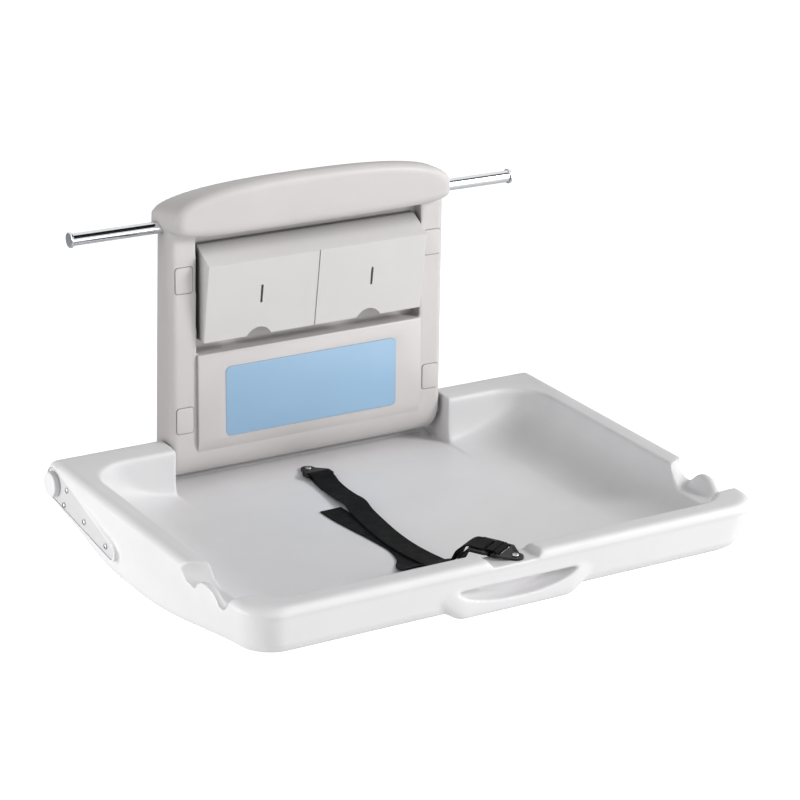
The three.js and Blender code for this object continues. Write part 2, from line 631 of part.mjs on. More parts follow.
// Rotary damper round the shaft that lets the bed down slowly, with a foot on the plate
function rotaryDamper(sign) {
  const end = EAR_X - DAMPER_INSET;
  const place = { y: HINGE_Y, z: HINGE_Z };
  const drum = bar('x', DAMPER_RADIUS, end - DAMPER_LENGTH, end, place);
  const foot = block([end - DAMPER_LENGTH + 6, end - 6], [HINGE_Y, -(PLATE_THICK + SEAT_GAP)],
    [HINGE_Z - DAMPER_RADIUS * 0.6, HINGE_Z + DAMPER_RADIUS * 0.9]);
  const bore = bar('x', SHAFT_RADIUS + SEAT_GAP, end - DAMPER_LENGTH - 1, end + 1, place);
  return cut(join(drum, foot), bore).transform(mirrorX(sign));
}

// One ring of the bed: a rectangle set in by a different amount on each side, with round corners
const CORNER_STEPS = 6;
const SIDE_STEPS = 7;
const END_STEPS = 2;
function bedRing({ rear, side, front, rearCorner, frontCorner, level }) {
  const right = HALF_BED - side;
  const back = -REAR_STAND_OFF - rear;
  const fore = -BED_REACH + front;
  const points = [];
  const corner = (x, y, radius, start) => {
    for (let i = 0; i <= CORNER_STEPS; i += 1) {
      const turn = start + (Math.PI / 2) * (i / CORNER_STEPS);
      points.push(new THREE.Vector3(x + radius * Math.cos(turn), y + radius * Math.sin(turn), 0));
    }
  };
  const edge = (toX, toY, steps) => {
    const from = points[points.length - 1];
    for (let i = 1; i < steps; i += 1) {
      const at = i / steps;
      points.push(new THREE.Vector3(from.x + (toX - from.x) * at, from.y + (toY - from.y) * at, 0));
    }
  };
  corner(right - rearCorner, back - rearCorner, rearCorner, 0);
  edge(-right + rearCorner, back, END_STEPS);
  corner(-right + rearCorner, back - rearCorner, rearCorner, Math.PI / 2);
  edge(-right, fore + frontCorner, SIDE_STEPS);
  corner(-right + frontCorner, fore + frontCorner, frontCorner, Math.PI);
  edge(right - frontCorner, fore, END_STEPS);
  corner(right - frontCorner, fore + frontCorner, frontCorner, 1.5 * Math.PI);
  edge(right, back - rearCorner, SIDE_STEPS);
  points.forEach((point) => {
    point.z = RIM + (typeof level === 'function' ? level(point.y) : level);
  });
  return points;
}

// Lower edge of the bed's outer wall: shallow at the hinge and at the front, deeper between
function lowerEdge(y) {
  const out = -y;
  const rise = THREE.MathUtils.smoothstep(out, 0, BED_REACH / 3);
  const fall = THREE.MathUtils.smoothstep(out, BED_REACH * 0.45, BED_REACH);
  return -(BED_EDGE_REAR + (BED_EDGE_MIDDLE - BED_EDGE_REAR) * rise
    - (BED_EDGE_MIDDLE - BED_EDGE_FRONT) * fall);
}

// Outside of the bed from the underside up to the rim, then down the inside to the floor
function bedRings() {
  const rings = [];
  const outer = (front, side, level, rear = 0) => rings.push(bedRing({
    rear, side, front,
    rearCorner: Math.max(REAR_CORNER - side / 3, 12),
    frontCorner: Math.max(FRONT_CORNER - side * 0.3, 40), level,
  }));
  outer(UNDER_INSET, UNDER_INSET, -BED_UNDERSIDE, UNDER_INSET * 0.75);
  outer(40, 42, lowerEdge, 14);
  outer(24, 25, (y) => lowerEdge(y) + 3, 4);
  outer(16, 16, (y) => lowerEdge(y) + 9, 1);
  outer(11, 12, (y) => lowerEdge(y) + 18);
  outer(LIP_STEP + 2, 3, -LIP_HEIGHT - 14);
  outer(LIP_STEP, 1.5, -LIP_HEIGHT - 2);
  outer(0, 0.6, -LIP_HEIGHT + 3);
  outer(0, 0, -10);
  outer(2.5, 3, -4);
  outer(9, 11, 0);
  const inner = (at, level) => rings.push(bedRing({
    rear: REAR_RIM_WIDTH + REAR_SLOPE_RUN * at.end,
    side: SIDE_RIM_WIDTH + SIDE_SLOPE_RUN * at.side,
    front: FRONT_RIM_WIDTH + END_SLOPE_RUN * at.end,
    rearCorner: 66 + 14 * at.side, frontCorner: 52 + 26 * at.side, level,
  }));
  inner({ side: 0, end: 0 }, -2);
  inner({ side: 0.03, end: 0.12 }, -5);
  inner({ side: 0.05, end: 0.22 }, -RIM_ROLL);
  const wallSteps = 6;
  for (let i = 1; i <= wallSteps; i += 1) {
    const turn = (Math.PI / 2) * (i / wallSteps);
    const drop = RIM_ROLL + (FLOOR_DEPTH - RIM_ROLL) * Math.sin(turn) ** 0.9;
    const run = 1 - Math.cos(turn) ** 0.9;
    inner({ side: 0.05 + 0.95 * run, end: 0.22 + 0.78 * run }, -drop);
  }
  return rings;
}

// Side view that trims the back of the bed round the hinge
function bedTrim() {
  const shape = new THREE.Shape();
  const far = BED_REACH + 20;
  shape.moveTo(-far, RIM + 20);
  shape.lineTo(-far, RIM - BED_UNDERSIDE - 40);
  shape.lineTo(-REAR_STAND_OFF, RIM - BED_UNDERSIDE - 40);
  shape.lineTo(-REAR_STAND_OFF, HINGE_Z);
  shape.absarc(HINGE_Y, HINGE_Z, REAR_ROUND, 0, Math.PI / 2, false);
  shape.lineTo(HINGE_Y, RIM + 20);
  return across(shape, HALF_BED + 20, 0, 8);
}

// Saddle in the side rim for hanging a bag, with a tab left standing along its outside
function bagNotch(sign) {
  const start = -NOTCH_START;
  const end = start - NOTCH_LENGTH;
  const middle = (start + end) / 2;
  const low = 30;                // run from the end of the notch to its lowest point
  const saddle = (depth, rise) => {
    const shape = new THREE.Shape();
    shape.moveTo(start + 6, RIM + 12);
    shape.lineTo(start, RIM + 1);
    shape.bezierCurveTo(start - 16, RIM - 2, start - 10, RIM - depth, start - low, RIM - depth);
    shape.bezierCurveTo(start - low - 16, RIM - depth, middle + 18, RIM - rise, middle, RIM - rise);
    shape.bezierCurveTo(middle - 18, RIM - rise, end + low + 16, RIM - depth, end + low, RIM - depth);
    shape.bezierCurveTo(end + 10, RIM - depth, end + 16, RIM - 2, end, RIM + 1);
    shape.lineTo(end - 6, RIM + 12);
    return shape;
  };
  const inside = HALF_BED - SIDE_RIM_WIDTH - 24;
  const lipFrom = HALF_BED - NOTCH_LIP_WIDTH;
  const slab = (shape, from, to) => {
    const body = across(shape, (to - from) / 2, 0, 5);
    return body.transform(new THREE.Matrix4().makeTranslation((from + to) / 2, 0, 0).elements);
  };
  return join(slab(saddle(NOTCH_DEPTH, NOTCH_DEPTH - 0.5), inside, lipFrom),
    slab(saddle(NOTCH_LIP_DEPTH, NOTCH_TAB_DEPTH), lipFrom - 1, HALF_BED + 5)).transform(mirrorX(sign));
}

function ellipsoid(radii, centre) {
  const geometry = new THREE.SphereGeometry(1, 24, 10);
  geometry.scale(radii.x, radii.y, radii.z);
  geometry.translate(centre.x, centre.y, centre.z);
  return solid(geometry);
}

// Belly under the front rim that a hand pulls, and the scoop for the fingers above it
function handleBelly() {
  const half = HANDLE_HALF_WIDTH;
  const front = BED_REACH - LIP_STEP - 2;
  const shape = new THREE.Shape();
  shape.moveTo(-half, RIM - 30);
  const bottom = RIM - HANDLE_DROP;
  shape.bezierCurveTo(-half + 18, bottom, -half + 20, bottom, -half + 50, bottom);
  shape.lineTo(half - 50, bottom);
  shape.bezierCurveTo(half - 20, bottom, half - 18, bottom, half, RIM - 30);
  return forward(shape, front - HANDLE_DEPTH, front, 11, 6);
}

function fingerScoop() {
  return ellipsoid({ x: SCOOP_HALF_WIDTH, y: SCOOP_DEPTH, z: SCOOP_HALF_HEIGHT },
    { x: 0, y: -BED_REACH + LIP_STEP, z: RIM - SCOOP_LEVEL });
}

// Screws of the hinge arm, ahead of the hinge axis and below it
const ARM_SCREWS = {
  hub_upper: { ahead: 42, below: -4 },
  hub_lower: { ahead: 32, below: 23.5 },
  middle: { ahead: 100, below: 25 },
  tip: { ahead: 171, below: 36.5 },
};
const armScrewPlaces = Object.entries(ARM_SCREWS).map(([name, { ahead, below }]) =>
  ({ name, y: HINGE_Y - ahead, z: HINGE_Z - below }));

function armOutline(grow) {
  return wrapped({ y: HINGE_Y, z: HINGE_Z }, ARM_HUB_RADIUS + grow,
    { y: HINGE_Y - ARM_LENGTH, z: HINGE_Z - ARM_FALL }, ARM_TIP_RADIUS + grow);
}

function atSide(body, sign, inner, outer) {
  const shift = new THREE.Matrix4().makeTranslation((inner + outer) / 2, 0, 0);
  return body.transform(shift.elements).transform(mirrorX(sign));
}

function bedTray() {
  const gapWidth = [-GAP_HALF_PANEL, GAP_HALF_PANEL];
  const panelGap = join(
    block(gapWidth, [-CHANNEL_REACH, 1], [RIM - FLOOR_DEPTH - CHANNEL_DEPTH, RIM + 20]),
    block(gapWidth, [-FLOOR_START, 1], [RIM - BED_UNDERSIDE - 10, RIM + 20]));
  const strapGap = forward(polygon([
    [-GAP_LEFT - 5, RIM + 3], [-GAP_LEFT + 5, RIM - GAP_DEPTH],
    [GAP_RIGHT - 5, RIM - GAP_DEPTH], [GAP_RIGHT + 5, RIM + 3],
  ]), BED_REACH - FRONT_RIM_WIDTH - 24, BED_REACH + 4);
  const bores = Object.values(SIDES).flatMap((sign) => [
    bar('x', SHAFT_RADIUS + SEAT_GAP, GAP_HALF_PANEL - 4, HALF_BED + 4, { y: HINGE_Y, z: HINGE_Z })
      .transform(mirrorX(sign)),
    atSide(across(armOutline(SEAT_GAP), 10, 0, 8), sign, ARM_INNER_X - SEAT_GAP, ARM_INNER_X - SEAT_GAP + 20),
    bar('y', BUMPER_RADIUS + SEAT_GAP, -REAR_STAND_OFF - BUMPER_SEAT, 2,
      { x: sign * (HALF_BED - BUMPER_INSET), z: RIM - BUMPER_DROP }),
    ...armScrewPlaces.map((place) => bar('x', ARM_SCREW_SHANK + SEAT_GAP,
      ARM_INNER_X - ARM_SCREW_LENGTH, HALF_BED, place, 10).transform(mirrorX(sign))),
  ]);
  const anchorHoles = [rearAnchorAt, frontAnchorAt].map(({ x, y, z }) =>
    bar('z', ANCHOR_SCREW_SHANK + SEAT_GAP, z - ANCHOR_SCREW_LENGTH, z + 2, { x, y }, 12));
  const pads = Object.values(SIDES).map((sign) =>
    atSide(across(armOutline(ARM_PAD), 20, 0, 8), sign, HALF_BED - 40.5, HALF_BED - 0.5));
  const body = join(solid(loft(bedRings())), handleBelly(), ...pads);
  return cut(body.intersect(bedTrim()), panelGap, strapGap, fingerScoop(), bagNotch(1), bagNotch(-1),
    ...bores, ...anchorHoles);
}

// Steel arm let into the side of the bed and screwed to it; the shaft's end is held in its hub
function hingeArm(sign) {
  const plate = across(armOutline(0), ARM_THICK / 2, 0, 8);
  const eye = bar('x', SHAFT_RADIUS + SEAT_GAP, -ARM_THICK, ARM_THICK, { y: HINGE_Y, z: HINGE_Z });
  const holes = armScrewPlaces.map((place) =>
    bar('x', ARM_SCREW_SHANK + SEAT_GAP, -ARM_THICK, ARM_THICK, place, 10));
  return atSide(cut(plate, eye, ...holes), sign, ARM_INNER_X, ARM_OUTER_X);
}

function armScrew(sign, place) {
  const seat = ARM_OUTER_X + SEAT_GAP;
  const head = bar('x', ARM_SCREW_RADIUS, seat, seat + ARM_SCREW_HEAD, place, 14, ARM_SCREW_RADIUS * 0.6);
  const shank = bar('x', ARM_SCREW_SHANK, ARM_INNER_X - ARM_SCREW_LENGTH + 1, seat + 1, place, 8);
  return join(head, shank).transform(mirrorX(sign));
}

function pivotNut(sign) {
  const place = { y: HINGE_Y, z: HINGE_Z };
  const from = ARM_OUTER_X + SEAT_GAP;
  return cut(bar('x', NUT_RADIUS, from, from + NUT_HEIGHT, place, 6),
    bar('x', SHAFT_RADIUS + SEAT_GAP, from - 1, from + NUT_HEIGHT + 1, place)).transform(mirrorX(sign));
}

// Domed cap over the nut
function pivotCap(sign) {
  const from = ARM_OUTER_X + SEAT_GAP;
  const top = CAP_HEIGHT;
  const profile = [[CAP_RADIUS, 0], [CAP_RADIUS, top - 4], [CAP_RADIUS - 1.5, top - 1.4], [CAP_RADIUS - 5, top],
    [0, top + 0.8], [0, top - CAP_WALL], [CAP_RADIUS - CAP_WALL, top - CAP_WALL], [CAP_RADIUS - CAP_WALL, 0]];
  const geometry = new THREE.LatheGeometry(
    [...profile, profile[0]].map(([r, h]) => new THREE.Vector2(r, h)), 20);
  geometry.rotateZ(-Math.PI / 2);
  geometry.translate(from, HINGE_Y, HINGE_Z);
  return solid(geometry).transform(mirrorX(sign));
}

// Rubber stop that lets the open bed lean on the wall
function stopBumper(sign) {
  return bar('y', BUMPER_RADIUS, -REAR_STAND_OFF - BUMPER_SEAT + SEAT_GAP, -SEAT_GAP,
    { x: sign * (HALF_BED - BUMPER_INSET), z: RIM - BUMPER_DROP }, 18, BUMPER_RADIUS - 2);
}

// Tongue with a slot for the strap, joggled up at its end and held down by one screw
const TONGUE_HALF = STRAP_WIDTH / 2 + BUCKLE_BAR;
const BUCKLE_LENGTH = 3 * BUCKLE_BAR + 2 * BUCKLE_SLOT;
function strapAnchor(tongue) {
  const round = ANCHOR_WIDTH / 2;
  const slotHalf = STRAP_WIDTH / 2 + 1;
  const barStart = tongue - BUCKLE_BAR;
  const shoulder = barStart - ANCHOR_SLOT - 2;
  const shape = new THREE.Shape();
  shape.moveTo(-TONGUE_HALF, shoulder);
  shape.lineTo(-round, 0);
  shape.absarc(0, 0, round, Math.PI, 2 * Math.PI, false);
  shape.lineTo(TONGUE_HALF, shoulder);
  shape.lineTo(TONGUE_HALF, tongue);
  shape.lineTo(-TONGUE_HALF, tongue);
  const slot = new THREE.Path();
  slot.moveTo(-slotHalf, barStart - ANCHOR_SLOT);
  slot.lineTo(-slotHalf, barStart);
  slot.lineTo(slotHalf, barStart);
  slot.lineTo(slotHalf, barStart - ANCHOR_SLOT);
  const hole = new THREE.Path();
  hole.absarc(0, 0, ANCHOR_SCREW_SHANK + SEAT_GAP, 0, 2 * Math.PI, true);
  shape.holes.push(slot, hole);
  const geometry = new THREE.ExtrudeGeometry(corners(shape, 9), { depth: ANCHOR_THICK, bevelEnabled: false });
  const position = geometry.attributes.position;
  for (let i = 0; i < position.count; i += 1) {
    const rise = THREE.MathUtils.clamp(
      (position.getY(i) - ANCHOR_SCREW_RADIUS) / (shoulder - ANCHOR_SCREW_RADIUS), 0, 1);
    position.setZ(i, position.getZ(i) + ANCHOR_LIFT * rise);
  }
  const headSeat = bar('z', ANCHOR_SCREW_RADIUS + RUN_GAP, ANCHOR_THICK, ANCHOR_THICK + ANCHOR_LIFT, {}, 16);
  return cut(solid(geometry), headSeat);
}

// Ladder buckle: a frame with three bars, lying along the front anchor's heading
function strapBuckle() {
  const outline = corners(roundedRectangle(BUCKLE_WIDTH, BUCKLE_LENGTH, BUCKLE_BAR), 5);
  const geometry = new THREE.ExtrudeGeometry(outline, { depth: BUCKLE_THICK, bevelEnabled: false });
  geometry.translate(0, BUCKLE_START + BUCKLE_LENGTH / 2, BUCKLE_RISE - BUCKLE_THICK / 2);
  const slotHalf = STRAP_WIDTH / 2 + 1.5;
  const slots = [BUCKLE_BAR, 2 * BUCKLE_BAR + BUCKLE_SLOT].map((from) => block([-slotHalf, slotHalf],
    [BUCKLE_START + from, BUCKLE_START + from + BUCKLE_SLOT], [0, BUCKLE_RISE + BUCKLE_THICK]));
  return cut(solid(geometry), ...slots);
}

// Loop of webbing that ties the buckle to the front anchor
function strapLoop() {
  const inside = Math.hypot(BUCKLE_BAR, BUCKLE_THICK) / 2 + SEAT_GAP;
  const from = { y: FRONT_TONGUE - BUCKLE_BAR / 2, z: BUCKLE_RISE };
  const to = { y: BUCKLE_START + BUCKLE_BAR / 2, z: BUCKLE_RISE };
  const outer = across(wrapped(from, inside + STRAP_THICK, to, inside + STRAP_THICK), STRAP_WIDTH / 2, 0, 7);
  return cut(outer, across(wrapped(from, inside, to, inside), STRAP_WIDTH, 0, 7));
}

// Main strap: sewn round the rear anchor's bar, along the floor, round the buckle's middle bar,
// and back as a loose tail beside itself
function strapStations() {
  const ply = STRAP_THICK + SEAT_GAP;
  const lie = SEAT_GAP + STRAP_THICK / 2;
  const hug = 0.82 * lie;
  const straight = new THREE.Vector3(1, 0, 0);
  const floor = RIM - FLOOR_DEPTH;
  const onFloor = (out, aside, height) =>
    ({ at: new THREE.Vector3(aside, -out, floor + height), side: straight });
  const bar = REAR_ANCHOR_OUT + REAR_TONGUE - BUCKLE_BAR;
  const along = (share) => bar + share * (BED_REACH - bar);
  const barLow = ANCHOR_LIFT + SEAT_GAP - CHANNEL_DEPTH;
  const barHigh = barLow + ANCHOR_THICK;
  const start = REAR_ANCHOR_ASIDE;
  const middleBar = BUCKLE_START + BUCKLE_BAR + BUCKLE_SLOT;
  const buckleEnd = BUCKLE_START + BUCKLE_LENGTH;
  const wrap = BUCKLE_THICK / 2 + lie;
  const atBuckle = (ahead, rise) => ({
    at: new THREE.Vector3(0, ahead, BUCKLE_RISE + rise).applyMatrix4(frontAnchor),
    side: straight.clone().transformDirection(frontAnchor),
  });
  const wide = STRAP_WIDTH;
  return [
    onFloor(bar + 1.4211 * wide, start - 0.1579 * wide, lie),
    onFloor(bar + 0.7895 * wide, start - 0.0789 * wide, lie),
    onFloor(bar + 0.3684 * wide, start, lie),
    onFloor(bar + BUCKLE_BAR, start, barLow - lie),
    onFloor(bar + 1, start, barLow - lie),
    onFloor(bar - hug, start, barLow - hug),
    onFloor(bar - lie, start, (barLow + barHigh) / 2),
    onFloor(bar - hug, start, barHigh + hug),
    onFloor(bar + 1, start, barHigh + lie),
    onFloor(bar + BUCKLE_BAR, start, barHigh + lie),
    onFloor(bar + 0.4211 * wide, start, lie + ply + 2),
    onFloor(bar + 0.8947 * wide, start - 0.1053 * wide, lie + ply + 0.5),
    onFloor(bar + 1.6316 * wide, start - 0.2105 * wide, lie + ply + 0.5),
    onFloor(along(0.18), start - 0.2895 * wide, lie + 0.1184 * wide),
    onFloor(along(0.235), start - 0.3158 * wide, lie + 0.1711 * wide),
    onFloor(along(0.29), start - 0.4474 * wide, lie + 0.0921 * wide),
    onFloor(along(0.355), start - 0.5789 * wide, lie + ply + 0.5),
    onFloor(along(0.465), start - 0.7632 * wide, lie + ply + 0.5),
    onFloor(along(0.555), start - 0.7895 * wide, lie + ply + 0.6),
    onFloor(along(0.64), start - 0.6842 * wide, lie + ply + 1.2),
    onFloor(along(0.72), start - 0.5263 * wide, lie + 0.1579 * wide),
    onFloor(along(0.76), start - 0.5263 * wide, lie + 0.3158 * wide),
    atBuckle(buckleEnd + 0.7632 * wide, -1.2105 * wide),
    atBuckle(buckleEnd + 0.4211 * wide, -0.5263 * wide),
    atBuckle(buckleEnd + 0.1316 * wide, -wrap - 3),
    atBuckle(middleBar + BUCKLE_BAR + BUCKLE_SLOT, -wrap),
    atBuckle(middleBar + 1, -wrap),
    atBuckle(middleBar - hug, -BUCKLE_THICK / 2 - hug),
    atBuckle(middleBar - lie, 0),
    atBuckle(middleBar - hug, BUCKLE_THICK / 2 + hug),
    atBuckle(middleBar + 1, wrap),
    atBuckle(middleBar + BUCKLE_BAR + BUCKLE_SLOT, wrap),
    atBuckle(buckleEnd + 0.1053 * wide, wrap - 0.6),
    atBuckle(buckleEnd + 0.5 * wide, -0.2368 * wide),
    atBuckle(buckleEnd + 0.8684 * wide, -0.8947 * wide),
    onFloor(along(0.75), start - 1.3684 * wide, lie + 0.5789 * wide),
    onFloor(along(0.705), start - 1.6842 * wide, lie + 0.2237 * wide),
    onFloor(along(0.667), start - 1.5789 * wide, lie + 2),
    onFloor(along(0.63), start - 1.2105 * wide, lie + 0.5),
    onFloor(along(0.555), start - 0.9474 * wide, lie),
    onFloor(along(0.465), start - 1.0263 * wide, lie),
    onFloor(along(0.355), start - 1.2368 * wide, lie),
    onFloor(along(0.29), start - 1.3421 * wide, lie),
    onFloor(along(0.23), start - 1.3684 * wide, lie),
  ];
}

function anchorScrew({ x, y, z }) {
  const top = z + SEAT_GAP + ANCHOR_THICK + SEAT_GAP;
  return join(bar('z', ANCHOR_SCREW_RADIUS, top, top + ANCHOR_SCREW_HEAD, { x, y }, 16),
    bar('z', ANCHOR_SCREW_SHANK, z - ANCHOR_SCREW_LENGTH + 1, top + 1, { x, y }, 10));
}

const rearAnchorAt = { x: REAR_ANCHOR_ASIDE, y: -REAR_ANCHOR_OUT, z: RIM - FLOOR_DEPTH - CHANNEL_DEPTH };
const frontAnchorAt = { x: 0, y: -BED_REACH + FRONT_ANCHOR_INSET, z: RIM - GAP_DEPTH };
const BUCKLE_RISE = ANCHOR_LIFT + ANCHOR_THICK / 2;

// Places of the two anchors, with the tongue drawn along +Y from its screw
const anchorPlace = ({ x, y, z }, turn) => new THREE.Matrix4().makeTranslation(x, y, z + SEAT_GAP)
  .multiply(new THREE.Matrix4().makeRotationZ(turn));
const rearAnchor = anchorPlace(rearAnchorAt, Math.PI);
const frontAnchor = anchorPlace(frontAnchorAt, THREE.MathUtils.degToRad(FRONT_ANCHOR_TURN));

piece('wall_plate', wallPlate(), 'steel');
piece('back_panel', backPanel(), 'panel');
piece('dispenser_cover', dispenserCover(), 'cover');
for (const well of wells) {
  const cover = forward(roundedRectangle(COVER_WIDTH - 2 * SEAT_GAP, COVER_HEIGHT - 2 * SEAT_GAP,
    COVER_ROUND - SEAT_GAP), -(COVER_THICK - COVER_PROUD - SEAT_GAP), COVER_PROUD, 0.6, 2);
  piece(`screw_cover_${well.level}_${well.side}`, placed(cover, onFace(well.x, well.height)), 'panel');
}
piece('label_plate', placed(forward(roundedRectangle(LABEL_WIDTH, LABEL_HEIGHT, LABEL_ROUND),
  -(LABEL_SINK - SEAT_GAP), LABEL_THICK - LABEL_SINK + SEAT_GAP, 0, 5),
onFace(0, LABEL_LEVEL, FIELD_PROUD)), 'label');

const rodPlace = { x: ROD_ASIDE, y: -ROD_OUT, z: RIM + ROD_LEVEL };
piece('hanging_rod', cut(bar('x', ROD_RADIUS, -ROD_LENGTH / 2, ROD_LENGTH / 2, rodPlace, 24),
  bar('x', ROD_RADIUS - ROD_WALL, -ROD_LENGTH / 2 - 1, ROD_LENGTH / 2 + 1, rodPlace, 20)), 'chrome');
for (const [side, sign] of Object.entries(SIDES)) {
  const end = ROD_LENGTH / 2;
  const capPlace = { ...rodPlace, x: sign * ROD_ASIDE };
  const disc = bar('x', ROD_CAP_RADIUS, end + SEAT_GAP, end + SEAT_GAP + ROD_CAP_THICK, capPlace, 24);
  const plug = bar('x', ROD_RADIUS - ROD_WALL - SEAT_GAP, end - ROD_PLUG_LENGTH, end + 1, capPlace, 16);
  piece(`rod_cap_${side}`, join(disc, plug).transform(mirrorX(sign)), 'chrome');
  piece(`shaft_bush_${side}`, shaftBush(sign), 'black');
  piece(`rotary_damper_${side}`, rotaryDamper(sign), 'steel');
}

piece('bed_tray', bedTray(), 'bed');
const shaftEnd = ARM_OUTER_X + SEAT_GAP + NUT_HEIGHT;
piece('hinge_shaft', bar('x', SHAFT_RADIUS, -shaftEnd, shaftEnd, { y: HINGE_Y, z: HINGE_Z }), 'steel');
for (const [side, sign] of Object.entries(SIDES)) {
  piece(`hinge_arm_${side}`, hingeArm(sign), 'painted');
  for (const place of armScrewPlaces) {
    piece(`arm_screw_${place.name}_${side}`, armScrew(sign, place), 'steel');
  }
  piece(`pivot_nut_${side}`, pivotNut(sign), 'steel');
  piece(`pivot_cap_${side}`, pivotCap(sign), 'bed');
  piece(`stop_bumper_${side}`, stopBumper(sign), 'rubber');
}

piece('strap_anchor_rear', placed(strapAnchor(REAR_TONGUE), rearAnchor), 'black');
piece('strap_anchor_front', placed(strapAnchor(FRONT_TONGUE), frontAnchor), 'black');
piece('anchor_screw_rear', anchorScrew(rearAnchorAt), 'steel');
piece('anchor_screw_front', anchorScrew(frontAnchorAt), 'steel');
piece('strap_buckle', placed(strapBuckle(), frontAnchor), 'black');
piece('strap_loop_front', placed(strapLoop(), frontAnchor), 'webbing');
piece('strap_webbing', ribbon(strapStations(), STRAP_WIDTH, STRAP_THICK, 2, RIM - FLOOR_DEPTH), 'webbing');

export default station;
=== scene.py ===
"""Visual model of a wall-mounted baby changing station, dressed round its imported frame.

Sizes are millimetres in the part's own frame: +X to the right along the wall, +Y into the wall,
+Z up. They turn into metres when a mesh is made. Levels that start from the rim count from the
top of the bed's rim.
"""
import json
import logging
import math
from dataclasses import dataclass
from enum import Enum
from typing import Callable, Iterable, Optional, Sequence

import bmesh
import bpy
from mathutils import Matrix, Vector

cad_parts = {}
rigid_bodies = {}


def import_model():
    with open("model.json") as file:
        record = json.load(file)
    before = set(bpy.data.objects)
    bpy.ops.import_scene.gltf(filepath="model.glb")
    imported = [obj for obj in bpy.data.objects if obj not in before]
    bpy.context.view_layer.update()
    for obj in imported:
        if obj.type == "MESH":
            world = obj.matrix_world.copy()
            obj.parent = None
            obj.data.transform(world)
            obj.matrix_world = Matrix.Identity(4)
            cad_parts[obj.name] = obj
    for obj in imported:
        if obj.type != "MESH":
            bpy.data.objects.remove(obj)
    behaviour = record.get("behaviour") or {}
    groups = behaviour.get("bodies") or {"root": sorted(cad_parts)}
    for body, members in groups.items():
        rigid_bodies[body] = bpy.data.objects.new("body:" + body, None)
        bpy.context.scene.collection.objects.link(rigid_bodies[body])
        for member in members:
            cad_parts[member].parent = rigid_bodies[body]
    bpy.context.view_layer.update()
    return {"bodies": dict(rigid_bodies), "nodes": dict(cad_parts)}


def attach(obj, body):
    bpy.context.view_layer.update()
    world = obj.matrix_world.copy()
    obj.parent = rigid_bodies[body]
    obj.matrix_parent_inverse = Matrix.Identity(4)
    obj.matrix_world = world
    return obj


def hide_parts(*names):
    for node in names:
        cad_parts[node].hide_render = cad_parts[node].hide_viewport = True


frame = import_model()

log = logging.getLogger("changing_station")

MM = 0.001
RIM = -128.0                  # top of the bed's rim
SEAT_GAP = 0.3                # between two pieces that touch
BED_WIDTH = 870.0
BED_REACH = 650.0             # from the wall to the bed's front
TRAY_DEPTH = 76.0             # from the rim down to the tray's floor
HINGE = (-38.0, RIM - 34.0)   # the hinge's axis, as (y, z)
ROD_RADIUS = 9.5
ROD_OUT = 14.0                # from the wall to the rod's middle
ROD_LEVEL = 337.0             # of the rod's middle above the rim
SIDES = {"left": -1.0, "right": 1.0}

EDGE_ANGLE = 35.0             # edges that turn more than this many degrees are broken
EDGE_STEPS = 3                # steps over a broken edge
FLAT_ANGLE = 1.0              # faces that turn less than this many degrees count as one
NOISE_RANGE = (0.3, 0.7)      # where most of a noise's values lie
# GAP_RANGE and GAP_SAMPLES set the painted shade in corners and gaps.
GAP_RANGE = (0.05, 0.85)      # openness of the deepest gap that counts, and of a clear face
GAP_SAMPLES = 6
SENSOR = 36.0                 # width of the camera's sensor
FRAME_PIXELS = 800            # width of the frame that the focal length is given for

Point = tuple[float, float, float]
Flat = tuple[float, float]
Colour = tuple[float, float, float]


class Body(Enum):
    """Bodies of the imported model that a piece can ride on."""

    STATION = "station"
    DISPENSER = "dispenser"
    BED = "bed"


class Cut(Enum):
    """Ways to combine one solid with another."""

    JOIN = "UNION"
    CUT = "DIFFERENCE"
    MEET = "INTERSECT"


class Axis(Enum):
    """Direction that a drawn outline is carried along."""

    ACROSS = "x"               # outline drawn in (y, z)
    FORWARD = "y"              # outline drawn in (x, z), towards the room
    UP = "z"                   # outline drawn in (x, y)


def srgb(red: int, green: int, blue: int) -> Colour:
    """Linear colour of a display colour.

    Args:
        red: Red from 0 to 255.
        green: Green from 0 to 255.
        blue: Blue from 0 to 255.

    Returns:
        The three linear values.
    """
    def linear(value: int) -> float:
        """Linear value of one channel."""
        share = value / 255
        return share / 12.92 if share <= 0.04045 else ((share + 0.055) / 1.055) ** 2.4
    return linear(red), linear(green), linear(blue)


def smoothstep(value: float, low: float, high: float) -> float:
    """Eased share of the way from low to high, from 0 to 1."""
    share = min(max((value - low) / (high - low), 0.0), 1.0)
    return share * share * (3 - 2 * share)


def strips(rows: int, count: int) -> list[Sequence[int]]:
    """Faces between rings of equal count, each ring closed on itself.

    Args:
        rows: Number of rings.
        count: Points in each ring.

    Returns:
        Corner numbers of each face.
    """
    faces: list[Sequence[int]] = []
    for row in range(rows - 1):
        for i in range(count):
            here, after = row * count + i, row * count + (i + 1) % count
            faces.append((here, after, after + count, here + count))
    return faces


